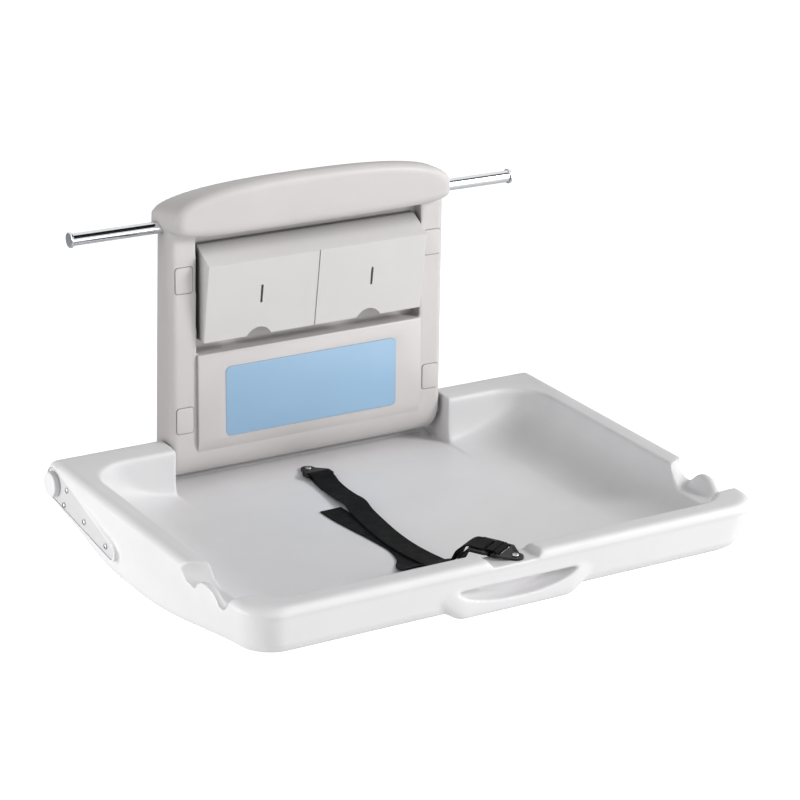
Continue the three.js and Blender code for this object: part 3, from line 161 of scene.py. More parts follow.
class Workpiece:
    """A solid under construction, given in millimetres and kept as a Blender object in metres."""

    def __init__(self, name: str, points: Iterable[Point], faces: Iterable[Sequence[int]]) -> None:
        """Makes the object and links it to the scene.

        Args:
            name: Name of the object.
            points: Corners in millimetres.
            faces: Corner numbers of each face.
        """
        mesh = bpy.data.meshes.new(name)
        mesh.from_pydata([Vector(point) * MM for point in points], [], [tuple(face) for face in faces])
        self.object = bpy.data.objects.new(name, mesh)
        bpy.context.scene.collection.objects.link(self.object)
        self._edit(lambda work: bmesh.ops.recalc_face_normals(work, faces=work.faces))

    @classmethod
    def loft(cls, name: str, rings: Sequence[Sequence[Point]]) -> "Workpiece":
        """Closed solid through rings of equal count.

        Args:
            name: Name of the object.
            rings: Rings of points, from one end to the other.

        Returns:
            The solid, closed over at both ends.
        """
        count = len(rings[0])
        points = [point for ring in rings for point in ring]
        faces = strips(len(rings), count)
        for row in (0, len(rings) - 1):
            middle = [sum(point[k] for point in rings[row]) / count for k in range(3)]
            points.append((middle[0], middle[1], middle[2]))
            hub = len(points) - 1
            faces.extend((row * count + i, row * count + (i + 1) % count, hub) for i in range(count))
        return cls(name, points, faces)

    @classmethod
    def slab(cls, name: str, outline: Sequence[Flat], axis: Axis, start: float, stop: float) -> "Workpiece":
        """Outline carried from one place to another along an axis.

        Args:
            name: Name of the object.
            outline: Drawn corners.
            axis: Direction that the outline is carried along.
            start: Where the slab starts.
            stop: Where it stops.

        Returns:
            The solid.
        """
        def at(corner: Flat, place: float) -> Point:
            """Corner of the outline at a place along the axis."""
            if axis is Axis.ACROSS:
                return place, corner[0], corner[1]
            if axis is Axis.FORWARD:
                return corner[0], -place, corner[1]
            return corner[0], corner[1], place
        count = len(outline)
        points = [at(corner, place) for place in (start, stop) for corner in outline]
        faces: list[Sequence[int]] = [(i, (i + 1) % count, count + (i + 1) % count, count + i)
                                      for i in range(count)]
        faces += [tuple(range(count)), tuple(range(count, 2 * count))]
        return cls(name, points, faces)

    @classmethod
    def box(cls, name: str, xs: Flat, ys: Flat, zs: Flat) -> "Workpiece":
        """Box between two values along each axis."""
        return cls.slab(name, [(xs[0], ys[0]), (xs[1], ys[0]), (xs[1], ys[1]), (xs[0], ys[1])],
                        Axis.UP, zs[0], zs[1])

    @classmethod
    def turned(cls, name: str, profile: Sequence[Flat], place: Matrix, segments: int = 64) -> "Workpiece":
        """Solid turned on a lathe round the local Z axis.

        Args:
            name: Name of the object.
            profile: (radius, height) from one end of the axis to the other; the ends have radius 0.
            place: Place of the local axes, in millimetres.
            segments: Steps round the axis.

        Returns:
            The solid.
        """
        points: list[Point] = []
        for radius, height in profile[1:-1]:
            for i in range(segments):
                turn = math.tau * i / segments
                local = Vector((radius * math.cos(turn), radius * math.sin(turn), height))
                points.append(tuple(place @ local))
        rows = len(profile) - 2
        faces = strips(rows, segments)
        for row, end in ((0, profile[0]), (rows - 1, profile[-1])):
            points.append(tuple(place @ Vector((0, 0, end[1]))))
            hub = len(points) - 1
            faces.extend((row * segments + i, row * segments + (i + 1) % segments, hub)
                         for i in range(segments))
        return cls(name, points, faces)

    def _edit(self, change: Callable[[bmesh.types.BMesh], object]) -> "Workpiece":
        """Runs a change on the mesh and returns the workpiece."""
        work = bmesh.new()
        work.from_mesh(self.object.data)
        change(work)
        work.to_mesh(self.object.data)
        work.free()
        return self

    def _modified(self, kind: str, **settings: object) -> "Workpiece":
        """Applies one modifier to the mesh.

        Args:
            kind: Blender's name of the modifier's type.
            **settings: Values of the modifier.

        Returns:
            The workpiece.
        """
        modifier = self.object.modifiers.new(kind, kind)
        for key, value in settings.items():
            setattr(modifier, key, value)
        graph = bpy.context.evaluated_depsgraph_get()
        graph.update()
        mesh = bpy.data.meshes.new_from_object(self.object.evaluated_get(graph), depsgraph=graph)
        old = self.object.data
        self.object.modifiers.clear()
        self.object.data = mesh
        bpy.data.meshes.remove(old)
        return self

    def combine(self, way: Cut, *tools: "Workpiece") -> "Workpiece":
        """Joins, cuts or intersects with other solids, which are used up.

        Args:
            way: How the solids are combined.
            *tools: The other solids.

        Returns:
            The workpiece.
        """
        for tool in tools:
            self._modified("BOOLEAN", operation=way.value, object=tool.object, solver="MANIFOLD")
            tool.scrap()
        return self

    def scrap(self) -> None:
        """Removes a solid that is no longer needed."""
        mesh = self.object.data
        bpy.data.objects.remove(self.object)
        bpy.data.meshes.remove(mesh)

    def moulded(self, voxel: float, rounds: int, keep: float) -> "Workpiece":
        """Softens every edge, as a blow-moulded shell has it, and thins the mesh where it is flat.

        Args:
            voxel: Size of the even mesh that the solid is drawn with.
            rounds: Rounds of smoothing.
            keep: Share of the faces that is kept.

        Returns:
            The workpiece.
        """
        self._modified("REMESH", mode="VOXEL", voxel_size=voxel * MM)
        self._modified("SMOOTH", factor=0.5, iterations=rounds)
        return self._modified("DECIMATE", decimate_type="COLLAPSE", ratio=keep)

    def eased(self, width: float) -> "Workpiece":
        """Breaks the sharp edges.

        Args:
            width: Width of the broken edge.

        Returns:
            The workpiece.
        """
        self._modified("DECIMATE", decimate_type="DISSOLVE", angle_limit=math.radians(FLAT_ANGLE))
        return self._modified("BEVEL", width=width * MM, segments=EDGE_STEPS, limit_method="ANGLE",
                              angle_limit=math.radians(EDGE_ANGLE), use_clamp_overlap=True)

    def mirrored(self, sign: float) -> "Workpiece":
        """Mirrors the solid to the left where the sign is negative."""
        if sign < 0:
            def flip(work: bmesh.types.BMesh) -> None:
                """Turns the mesh over to the left."""
                bmesh.ops.transform(work, matrix=Matrix.Scale(-1, 4, (1, 0, 0)), verts=work.verts)
                bmesh.ops.reverse_faces(work, faces=work.faces)
            self._edit(flip)
        return self

    def placed(self, place: Matrix) -> "Workpiece":
        """Moves the mesh by a placement in millimetres."""
        metres = place.copy()
        metres.translation = place.translation * MM
        return self._edit(lambda work: bmesh.ops.transform(work, matrix=metres, verts=work.verts))

    def shaded(self, angle: float = 40.0) -> "Workpiece":
        """Shades the faces smoothly, with edges sharper than the angle left sharp."""
        mesh = self.object.data
        mesh.polygons.foreach_set("use_smooth", [True] * len(mesh.polygons))
        mesh.set_sharp_from_angle(angle=math.radians(angle))
        return self

    def mounted(self, body: Body, slot: str, material: bpy.types.Material, *nodes: str) -> bpy.types.Object:
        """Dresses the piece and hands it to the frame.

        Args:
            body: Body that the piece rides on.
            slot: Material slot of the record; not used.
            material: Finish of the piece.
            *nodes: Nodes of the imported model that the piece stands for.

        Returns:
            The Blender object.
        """
        self.object.data.materials.clear()
        self.object.data.materials.append(material)
        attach(self.object, body.value)
        if nodes:
            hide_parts(*nodes)
        log.info("%s: %d faces on %s", self.object.name, len(self.object.data.polygons), body.value)
        return self.object


def arc(centre: Flat, radius: float, start: float, stop: float, steps: int) -> list[Flat]:
    """Points of a circular arc.

    Args:
        centre: Centre of the circle.
        radius: Its radius.
        start: First angle in degrees.
        stop: Last angle in degrees.
        steps: Steps between them.

    Returns:
        The points, both ends included.
    """
    turns = [math.radians(start + (stop - start) * i / steps) for i in range(steps + 1)]
    return [(centre[0] + radius * math.cos(turn), centre[1] + radius * math.sin(turn)) for turn in turns]


def rounded_rectangle(width: float, height: float, radius: float, steps: int = 8) -> list[Flat]:
    """Corners of a rectangle with round corners, round the origin."""
    w, h = width / 2 - radius, height / 2 - radius
    return (arc((w, -h), radius, -90, 0, steps) + arc((w, h), radius, 0, 90, steps)
            + arc((-w, h), radius, 90, 180, steps) + arc((-w, -h), radius, 180, 270, steps))


def bezier(start: Flat, first: Flat, second: Flat, end: Flat, steps: int = 12) -> list[Flat]:
    """Points of a cubic curve after its start.

    Args:
        start: First point.
        first: First handle.
        second: Second handle.
        end: Last point.
        steps: Steps along the curve.

    Returns:
        The points, without the first.
    """
    points = []
    for i in range(1, steps + 1):
        t = i / steps
        shares = ((1 - t) ** 3, 3 * t * (1 - t) ** 2, 3 * t * t * (1 - t), t ** 3)
        points.append(tuple(sum(share * corner[k] for share, corner in
                                zip(shares, (start, first, second, end))) for k in range(2)))
    return points


def sideways(place: Point, sign: float) -> Matrix:
    """Place whose local Z points to the right, or to the left where the sign is negative."""
    return Matrix.Translation(place) @ Matrix.Rotation(math.radians(90 * sign), 4, "Y")


def belt(hub: Flat, hub_radius: float, tip: Flat, tip_radius: float, steps: int = 24) -> list[Flat]:
    """Outline of two circles wrapped by a belt.

    Args:
        hub: Centre of the first circle.
        hub_radius: Its radius.
        tip: Centre of the second circle.
        tip_radius: Its radius.
        steps: Steps round each circle.

    Returns:
        The outline.
    """
    heading = math.degrees(math.atan2(tip[1] - hub[1], tip[0] - hub[0]))
    lean = math.degrees(math.acos((hub_radius - tip_radius) / math.dist(hub, tip)))
    return (arc(hub, hub_radius, heading + lean, heading - lean + 360, steps)
            + arc(tip, tip_radius, heading - lean, heading + lean, steps))


class NodeSheet:
    """Node tree of one material, with short calls to add and join nodes."""

    def __init__(self, name: str) -> None:
        """Makes the material with its principled shader."""
        self.material = bpy.data.materials.new(name)
        self.material.use_nodes = True
        self.tree = self.material.node_tree
        self.shader = self.tree.nodes["Principled BSDF"]
        self.place = self.add("ShaderNodeTexCoord").outputs["Object"]

    def add(self, kind: str, **settings: object) -> bpy.types.Node:
        """Adds a node.

        Args:
            kind: Blender's name of the node's type.
            **settings: Values of the node, or of its inputs where the name is an input's.

        Returns:
            The node.
        """
        node = self.tree.nodes.new(kind)
        for key, value in settings.items():
            socket = node.inputs.get(key.replace("_", " ")) if not hasattr(node, key) else None
            if socket is not None:
                socket.default_value = value
            else:
                setattr(node, key, value)
        return node

    def link(self, output: bpy.types.NodeSocket, socket: bpy.types.NodeSocket) -> None:
        """Joins an output to an input."""
        self.tree.links.new(output, socket)

    def noise(self, scale: float, detail: float = 3.0,
              stretch: Optional[Point] = None) -> bpy.types.NodeSocket:
        """Noise in object space.

        Args:
            scale: Bumps per metre.
            detail: Octaves.
            stretch: Scale along each axis, for a noise with a direction.

        Returns:
            The noise's value.
        """
        noise = self.add("ShaderNodeTexNoise", Scale=scale, Detail=detail, Roughness=0.55)
        if stretch:
            mapping = self.add("ShaderNodeMapping")
            mapping.inputs["Scale"].default_value = stretch
            self.link(self.place, mapping.inputs["Vector"])
            self.link(mapping.outputs["Vector"], noise.inputs["Vector"])
        else:
            self.link(self.place, noise.inputs["Vector"])
        return noise.outputs["Fac"]

    def ramp(self, value: bpy.types.NodeSocket, low: float, high: float, first: Colour,
             second: Colour) -> bpy.types.NodeSocket:
        """Colour that goes from one to another over a range of a value.

        Args:
            value: The value.
            low: Where the first colour ends.
            high: Where the second colour starts.
            first: The first colour.
            second: The second colour.

        Returns:
            The colour.
        """
        ramp = self.add("ShaderNodeValToRGB")
        for element, place, colour in zip(ramp.color_ramp.elements, (low, high), (first, second)):
            element.position = place
            element.color = (*colour, 1.0)
        self.link(value, ramp.inputs["Fac"])
        return ramp.outputs["Color"]

    def spread(self, value: bpy.types.NodeSocket, low: float, high: float) -> bpy.types.NodeSocket:
        """A noise value spread over a new range."""
        node = self.add("ShaderNodeMapRange")
        node.inputs["From Min"].default_value, node.inputs["From Max"].default_value = NOISE_RANGE
        node.inputs["To Min"].default_value = low
        node.inputs["To Max"].default_value = high
        self.link(value, node.inputs["Value"])
        return node.outputs["Result"]

    def bump(self, height: bpy.types.NodeSocket, depth: float,
             under: Optional[bpy.types.NodeSocket] = None) -> bpy.types.NodeSocket:
        """Relief from a height.

        Args:
            height: Height from 0 to 1.
            depth: Depth of the relief in millimetres.
            under: Normal of a relief that this one lies on.

        Returns:
            The normal.
        """
        node = self.add("ShaderNodeBump")
        node.inputs["Strength"].default_value = 1.0
        node.inputs["Distance"].default_value = depth * MM
        self.link(height, node.inputs["Height"])
        if under is not None:
            self.link(under, node.inputs["Normal"])
        return node.outputs["Normal"]

    def painted_gap_shade(self, colour: bpy.types.NodeSocket, share: float, reach: float) -> bpy.types.NodeSocket:
        """Colour with painted shade, which darkens it in corners and gaps as far as each place is hemmed in.

        Args:
            colour: The clean colour.
            share: Share of it that is lost in the deepest gaps.
            reach: Width of a gap that counts as open, in millimetres.

        Returns:
            The colour.
        """
        gap = self.add("ShaderNodeAmbientOcclusion", samples=GAP_SAMPLES)
        gap.inputs["Distance"].default_value = reach * MM
        # Painted shade: the ramp turns the occlusion into a darkening factor for the colour.
        painted_shade = self.ramp(gap.outputs["AO"], *GAP_RANGE, (1 - share,) * 3, (1.0, 1.0, 1.0))
        mix = self.add("ShaderNodeMix", data_type="RGBA", blend_type="MULTIPLY")
        mix.inputs["Factor"].default_value = 1.0
        self.link(colour, mix.inputs["A"])
        self.link(painted_shade, mix.inputs["B"])
        return mix.outputs["Result"]

    def value(self, name: str, number: object) -> None:
        """Sets an input of the shader that is the same all over."""
        self.shader.inputs[name].default_value = number

    def into(self, name: str, output: bpy.types.NodeSocket) -> None:
        """Joins an output to an input of the shader."""
        self.link(output, self.shader.inputs[name])


@dataclass(frozen=True)
class MouldedPlastic:
    """Matt moulded plastic with a fine grain, faint clouds of colour, rubbed places and, where asked, painted
    shade in its corners and gaps.
    """

    name: str
    colour: Colour
    cloud: Colour
    roughness: tuple[float, float] = (0.38, 0.5)
    grain: float = 900.0        # grains per metre
    depth: float = 0.05         # depth of the grain
    specular: float = 0.4
    gap_shade_share: float = 0.0        # share of the colour lost to painted shade in deep corners
    reach: float = 13.0         # width of a gap that counts as open
    clouds: float = 7.0         # clouds of colour per metre
    rubbing: float = 26.0       # rubbed places per metre
    waves: Flat = (14.0, 0.25)  # waves of the moulded face per metre, and their depth

    def material(self) -> bpy.types.Material:
        """Builds the material."""
        sheet = NodeSheet(self.name)
        sheet.value("Base Color", (*self.colour, 1.0))
        colour = sheet.ramp(sheet.noise(self.clouds, 4.0), 0.35, 0.65, self.cloud, self.colour)
        # Painted shade: ambient occlusion darkens the colour in corners and gaps.
        if self.gap_shade_share:
            colour = sheet.painted_gap_shade(colour, self.gap_shade_share, self.reach)
        sheet.into("Base Color", colour)
        sheet.into("Roughness", sheet.spread(sheet.noise(self.rubbing, 5.0), *self.roughness))
        sheet.value("Specular IOR Level", self.specular)
        waves = sheet.bump(sheet.noise(self.waves[0], 2.0), self.waves[1])
        sheet.into("Normal", sheet.bump(sheet.noise(self.grain, 2.0), self.depth, waves))
        return sheet.material


@dataclass(frozen=True)
class Metal:
    """Metal with fine drawn lines along one direction."""

    name: str
    colour: Colour
    tarnish: Colour
    roughness: tuple[float, float]
    stretch: Point              # lines per metre along each axis
    depth: float = 0.01         # depth of the lines
    blotches: float = 30.0      # tarnished places per metre

    def material(self) -> bpy.types.Material:
        """Builds the material."""
        sheet = NodeSheet(self.name)
        sheet.value("Metallic", 1.0)
        lines = sheet.noise(1.0, 3.0, self.stretch)
        blotches = sheet.noise(self.blotches, 4.0)
        sheet.into("Base Color", sheet.ramp(blotches, 0.4, 0.6, self.tarnish, self.colour))
        sheet.into("Roughness", sheet.spread(lines, *self.roughness))
        sheet.into("Normal", sheet.bump(lines, self.depth))
        return sheet.material


@dataclass(frozen=True)
class Webbing:
    """Woven webbing: slanted ribs that meet in the middle of each cord, from the strap's own lengths."""

    name: str
    colour: Colour
    sheen: Colour
    rib: float = 2.2            # width of a rib across the strap
    pick: float = 1.6           # length of a pick along the strap
    depth: float = 0.3          # depth of the weave
    fuzz: float = 60.0          # rubbed places per metre
    roughness: Flat = (0.62, 0.8)
    specular: float = 0.12

    def material(self) -> bpy.types.Material:
        """Builds the material."""
        sheet = NodeSheet(self.name)
        lengths = sheet.add("ShaderNodeUVMap", uv_map="strap")
        split = sheet.add("ShaderNodeSeparateXYZ")
        sheet.link(lengths.outputs["UV"], split.inputs["Vector"])
        across = self._wave(sheet, split.outputs["X"], self.rib)
        slant = sheet.add("ShaderNodeMath", operation="MULTIPLY_ADD")
        sheet.link(across, slant.inputs[0])
        slant.inputs[1].default_value = self.pick * MM
        sheet.link(split.outputs["Y"], slant.inputs[2])
        along = self._wave(sheet, slant.outputs["Value"], self.pick)
        weave = sheet.add("ShaderNodeMath", operation="MULTIPLY")
        sheet.link(across, weave.inputs[0])
        sheet.link(along, weave.inputs[1])
        height = weave.outputs["Value"]
        sheet.into("Base Color", sheet.ramp(height, 0.1, 0.9, self.colour, self.sheen))
        sheet.into("Roughness", sheet.spread(sheet.noise(self.fuzz, 4.0), *self.roughness))
        sheet.value("Specular IOR Level", self.specular)
        sheet.into("Normal", sheet.bump(height, self.depth))
        return sheet.material

    @staticmethod
    def _wave(sheet: NodeSheet, length: bpy.types.NodeSocket, pitch: float) -> bpy.types.NodeSocket:
        """Up-and-down wave over a length, from 0 to 1, with the pitch in millimetres."""
        turn = sheet.add("ShaderNodeMath", operation="MULTIPLY")
        sheet.link(length, turn.inputs[0])
        turn.inputs[1].default_value = math.tau / (pitch * MM)
        sine = sheet.add("ShaderNodeMath", operation="SINE")
        sheet.link(turn.outputs["Value"], sine.inputs[0])
        half = sheet.add("ShaderNodeMath", operation="MULTIPLY_ADD")
        sheet.link(sine.outputs["Value"], half.inputs[0])
        half.inputs[1].default_value = 0.5
        half.inputs[2].default_value = 0.5
        return half.outputs["Value"]


# The bed, panel and cover plastics carry painted shade in their corners and gaps; the cover's is the deepest
# and widest.
BED_PLASTIC = MouldedPlastic("bed_plastic", srgb(223, 222, 223), srgb(219, 218, 219), gap_shade_share=0.18)
PANEL_PLASTIC = MouldedPlastic("panel_plastic", srgb(206, 202, 201), srgb(202, 198, 197), gap_shade_share=0.6)
COVER_PLASTIC = MouldedPlastic("cover_plastic", srgb(214, 211, 211), srgb(211, 208, 208), grain=1200.0,
                               depth=0.03, gap_shade_share=0.85, reach=34.0)
PAINT = MouldedPlastic("white_paint", srgb(206, 206, 207), srgb(202, 202, 203), (0.3, 0.42), 500.0, 0.06)
NYLON = MouldedPlastic("black_nylon", srgb(17, 17, 19), srgb(13, 13, 14), (0.4, 0.52), 1500.0, 0.03, 0.3)
RUBBER = MouldedPlastic("black_rubber", srgb(34, 34, 35), srgb(28, 28, 29), (0.7, 0.85), 700.0, 0.05, 0.3)
LABEL = MouldedPlastic("blue_sheet", srgb(150, 184, 212), srgb(148, 182, 211), (0.3, 0.36), 600.0, 0.004)
CHROME = Metal("chrome", srgb(228, 230, 232), srgb(216, 219, 222), (0.03, 0.09), (8.0, 900.0, 900.0), 0.002)
STEEL = Metal("zinc_steel", srgb(196, 199, 202), srgb(172, 175, 178), (0.28, 0.42), (900.0, 60.0, 60.0))
STRAP_CLOTH = Webbing("strap_webbing", srgb(4, 4, 5), srgb(12, 12, 13))


@dataclass(frozen=True)
class Ring:
    """Sizes of one ring of the bed's shell."""

    rear: float                 # inset at the rear
    side: float                 # inset at the sides
    front: float                # inset at the front
    rear_corner: float          # radius of the rear corners
    front_corner: float         # radius of the front corners
    share: float                # share of the lower edge in the level
    level: float                # level added to it


@dataclass
class MouldedBed:
    """The folding tray: a blow-moulded shell with bag saddles, a pull handle and a strap gap."""

    width: float = BED_WIDTH
    reach: float = BED_REACH
    underside: float = 127.0
    floor: float = TRAY_DEPTH
    rear_rim: float = 68.0
    side_rim: float = 34.0
    front_rim: float = 36.0
    rear_corner: float = 30.0
    front_corner: float = 52.0
    well_corners: Flat = (66.0, 52.0)   # radius of the tray's rear and front corners at the rim
    well_spread: Flat = (14.0, 26.0)    # what the slopes add to them down to the floor
    side_run: float = 101.0             # width of the slope along the sides
    end_run: float = 30.0               # and along the front
    rear_run: float = 14.0              # and along the rear
    slope_starts: Flat = (0.028, 0.22)  # shares of the sides' and ends' runs that the rim's roll takes
    lip: float = 16.0
    lip_step: float = 3.0
    edge_rear: float = 90.0             # lower edge of the wall below the rim, at the rear
    edge_middle: float = 125.0          # in the middle
    edge_front: float = 80.0            # and at the front
    rim_roll: float = 10.0
    stand_off: float = 4.0              # from the wall to the bed's rear
    gap_half: float = 247.0             # half of the gap for the panel
    channel_depth: float = 1.5
    channel_reach: float = 90.0
    channel_ramp: float = 90.0
    floor_start: float = 7.0
    notch: Flat = (463.0, 590.0)        # bag saddle from the wall, inside the rim
    notch_outer: float = 456.0          # its start along the rim's outside
    notch_dips: tuple[float, float, float] = (37.0, 17.0, 35.0)     # lowest places from the ends
    notch_bulge: Flat = (21.0, 3.0)     # how far the pocket hollows back under the rim
    notch_depth: float = 34.0
    notch_lip_depth: float = 29.0
    notch_tab: Flat = (23.0, 9.0)       # where the tab rises, from the bed's side
    notch_tab_depth: float = 8.5
    handle_half: float = 128.0
    handle_drop: float = 87.0
    handle_depth: float = 34.0
    scoop_half: float = 104.0
    scoop_level: float = 53.0
    scoop_height: float = 13.0
    scoop_depth: float = 30.0
    strap_gap: Point = (52.0, 34.0, 11.0)       # to the left, to the right and down
    bumper: Point = (105.0, 56.0, 11.3)         # inset, drop and radius of a stop's seat
    arm_pad: Flat = (3.6, 40.0)                 # how far the pad round an arm reaches out, and in
    corner_steps: tuple[int, int] = (20, 28)    # of a ring's rear and front corners
    edge_steps: tuple[int, int] = (24, 40)      # of a ring's ends and sides
    slope_steps: int = 16

    @property
    def half(self) -> float:
        """Half of the bed's width."""
        return self.width / 2

    def lower_edge(self, y: float) -> float:
        """Level of the wall's lower edge below the rim at a place along the side."""
        rise = smoothstep(-y, 0, self.reach / 3)
        fall = smoothstep(-y, self.reach * 0.45, self.reach)
        return -(self.edge_rear + (self.edge_middle - self.edge_rear) * rise
                 - (self.edge_middle - self.edge_front) * fall)

    def ring(self, sizes: Ring) -> list[Point]:
        """One ring of the shell.

        Args:
            sizes: Sizes of the ring.

        Returns:
            The ring's points.
        """
        right = self.half - sizes.side
        back, fore = -self.stand_off - sizes.rear, -self.reach + sizes.front
        rear_corner, front_corner = sizes.rear_corner, sizes.front_corner
        rear_steps, front_steps = self.corner_steps
        end_steps, side_steps = self.edge_steps
        flat: list[Flat] = []

        def edge(to: Flat, steps: int) -> None:
            """Adds the points between the last one and the next."""
            start = flat[-1]
            flat.extend((start[0] + (to[0] - start[0]) * i / steps, start[1] + (to[1] - start[1]) * i / steps)
                        for i in range(1, steps))
        rear_at = (right - rear_corner, back - rear_corner)
        front_at = (right - front_corner, fore + front_corner)
        flat += arc(rear_at, rear_corner, 0, 90, rear_steps)
        edge((-rear_at[0], back), end_steps)
        flat += arc((-rear_at[0], rear_at[1]), rear_corner, 90, 180, rear_steps)
        edge((-right, front_at[1]), side_steps)
        flat += arc((-front_at[0], front_at[1]), front_corner, 180, 270, front_steps)
        edge((front_at[0], fore), end_steps)
        flat += arc(front_at, front_corner, 270, 360, front_steps)
        edge((right, rear_at[1]), side_steps)
        return [(x, y, RIM + sizes.share * self.lower_edge(y) + sizes.level) for x, y in flat]

    def stations(self) -> list[Ring]:
        """Sizes of the rings from the underside up over the rim and down to the floor."""
        rows: list[Ring] = []

        def outer(front: float, side: float, share: float, level: float, rear: float = 0.0) -> None:
            """Adds a ring of the wall's outside."""
            rows.append(Ring(rear, side, front, max(self.rear_corner - side / 3, 12),
                             max(self.front_corner - side * 0.3, 38), share, level))
        outer(120, 120, 0, -self.underside, 90)
        for front, side, level, rear in ((40, 42, 0, 14), (24, 25, 3, 4), (16, 16, 9, 1), (11, 12, 18, 0)):
            outer(front, side, 1, level, rear)
        outer(self.lip_step + 2, 3, 0, -self.lip - 14)
        outer(self.lip_step, 1.5, 0, -self.lip - 2)
        outer(0, 0.6, 0, -self.lip + 3)
        outer(0, 0, 0, -10)
        outer(2.5, 3.5, 0, -4.6)
        outer(6, 8, 0, -1.2)
        outer(10, 13, 0, 0)

        rear_well, front_well = self.well_corners
        rear_spread, front_spread = self.well_spread

        def inner(side: float, end: float, level: float) -> None:
            """Adds a ring of the rim's inside or of the slope, by shares of its runs."""
            rows.append(Ring(self.rear_rim + self.rear_run * end, self.side_rim + self.side_run * side,
                             self.front_rim + self.end_run * end, rear_well + rear_spread * side,
                             front_well + front_spread * side, 0, level))
        side_start, end_start = self.slope_starts
        inner(0, 0, -2)
        inner(0.02, 0.12, -5)
        inner(side_start, end_start, -self.rim_roll)
        for i in range(1, self.slope_steps + 1):
            turn = math.pi / 2 * i / self.slope_steps
            fullness = 0.9 + 0.3 * i / self.slope_steps
            run = 1 - max(math.cos(turn), 0.0) ** fullness
            drop = self.rim_roll + (self.floor - self.rim_roll) * math.sin(turn) ** fullness
            inner(side_start + (1 - side_start) * run, end_start + (1 - end_start) * run ** 1.7, -drop)
        return rows

    def shell(self) -> Workpiece:
        """The plain tray, trimmed round behind the hinge."""
        tray = Workpiece.loft("bed_shell", [self.ring(sizes) for sizes in self.stations()])
        low, far, wide = RIM - self.underside - 40, -self.reach - 20, self.half + 20
        side = [(far, RIM + 20), (far, low), (-self.stand_off, low)]
        side += arc(HINGE, -HINGE[0] - self.stand_off, 0, 90, 24)
        side.append((HINGE[0], RIM + 20))
        return tray.combine(Cut.MEET, Workpiece.slab("rear_trim", side, Axis.ACROSS, -wide, wide))

    def handle(self) -> Workpiece:
        """Belly under the front rim, faded out to both sides."""
        rings = []
        steps = 48
        back = -self.reach + 5 + self.handle_depth
        for i in range(steps + 1):
            x = self.handle_half * 1.16 * (2 * i / steps - 1)
            full = 1 - smoothstep(abs(x), self.handle_half * 0.68, self.handle_half * 1.16)
            bottom = RIM - 56 - (self.handle_drop - 56) * full
            front = -self.reach + 9 - 5.5 * full
            section = [(back, RIM - 34), (front + 3, RIM - 34), (front, RIM - 40)]
            section += bezier((front, RIM - 40), (front - 0.5, bottom + 14), (front + 1, bottom),
                              (front + 15, bottom), 14)
            section.append((back, bottom + 5 * full))
            rings.append([(x, y, z) for y, z in section])
        return Workpiece.loft("pull_handle", rings)

    def scoop(self) -> Workpiece:
        """Hollow for the fingers above the handle, straight above and curved below."""
        half, height = self.scoop_half, self.scoop_height
        outline = [(half * (1 - i / 12), height) for i in range(24)] + [(-half, height)]
        outline += bezier((-half, height), (-half * 0.7, -height - 6), (half * 0.7, -height - 6),
                          (half, height), 24)[:-1]
        narrowing = ((-14, 1.3), (-4, 1.16), (2, 1.05), (8, 1.0), (20, 0.9), (self.scoop_depth, 0.66))
        rings = []
        for depth, share in narrowing:
            rings.append([(x * min(share, 1.06), -self.reach + depth, RIM - self.scoop_level + z * share)
                          for x, z in outline])
        return Workpiece.loft("finger_scoop", rings)

    def saddle_outline(self, across: float) -> list[Flat]:
        """Outline of a bag saddle at one place across the rim.

        Args:
            across: Distance from the bed's middle.

        Returns:
            Corners from the wall to the front, above the rim at both ends.
        """
        share = min(1.0, max(0.0, (across - self.half + self.side_rim) / (self.side_rim - 4)))
        tab = smoothstep(across, self.half - self.notch_tab[0], self.half - self.notch_tab[1])
        start = -self.notch[0] - (self.notch_outer - self.notch[0]) * share
        end = -self.notch[1]
        deep = -self.notch_depth - (self.notch_lip_depth - self.notch_depth) * share
        top = deep + (-self.notch_tab_depth - deep) * tab
        inside, outside, ahead = self.notch_dips
        first, second = start - inside - (outside - inside) * share, end + ahead
        bulge = self.notch_bulge[0] * share - self.notch_bulge[1] * (1 - share)
        middle = (first + second) / 2
        round_in, round_out = 0.62 * (first - middle), 0.24 * (first - middle)
        points: list[Flat] = [(start + 6, 12.0), (start, 1.0)]
        for leaving, arriving, to in (
                ((start + bulge, -14 + 6 * share), (first + 16 + 18 * share, deep - 1), (first, deep)),
                ((first - round_out, deep), (middle + round_in, top), (middle, top)),
                ((middle - round_in, top), (second + round_out, deep), (second, deep)),
                ((second - 16, deep), (end + 15, -7), (end, 1.0))):
            points += bezier(points[-1], leaving, arriving, to)
        return [(y, RIM + z) for y, z in points + [(end - 6, 12.0)]]

    def saddle(self, sign: float) -> Workpiece:
        """Bag saddle in a side rim, with a tab standing along its outside."""
        first, last, count = self.half - self.side_rim - 24, self.half + 5, 25
        places = [first + (last - first) * i / (count - 1) for i in range(count)]
        rings = [[(x, y, z) for y, z in self.saddle_outline(x)] for x in places]
        size = len(rings[0])
        ends: list[Sequence[int]] = [range(size), range(size * (count - 1), size * count)]
        points = [point for ring in rings for point in ring]
        return Workpiece("saddle", points, ends + strips(count, size)).mirrored(sign)

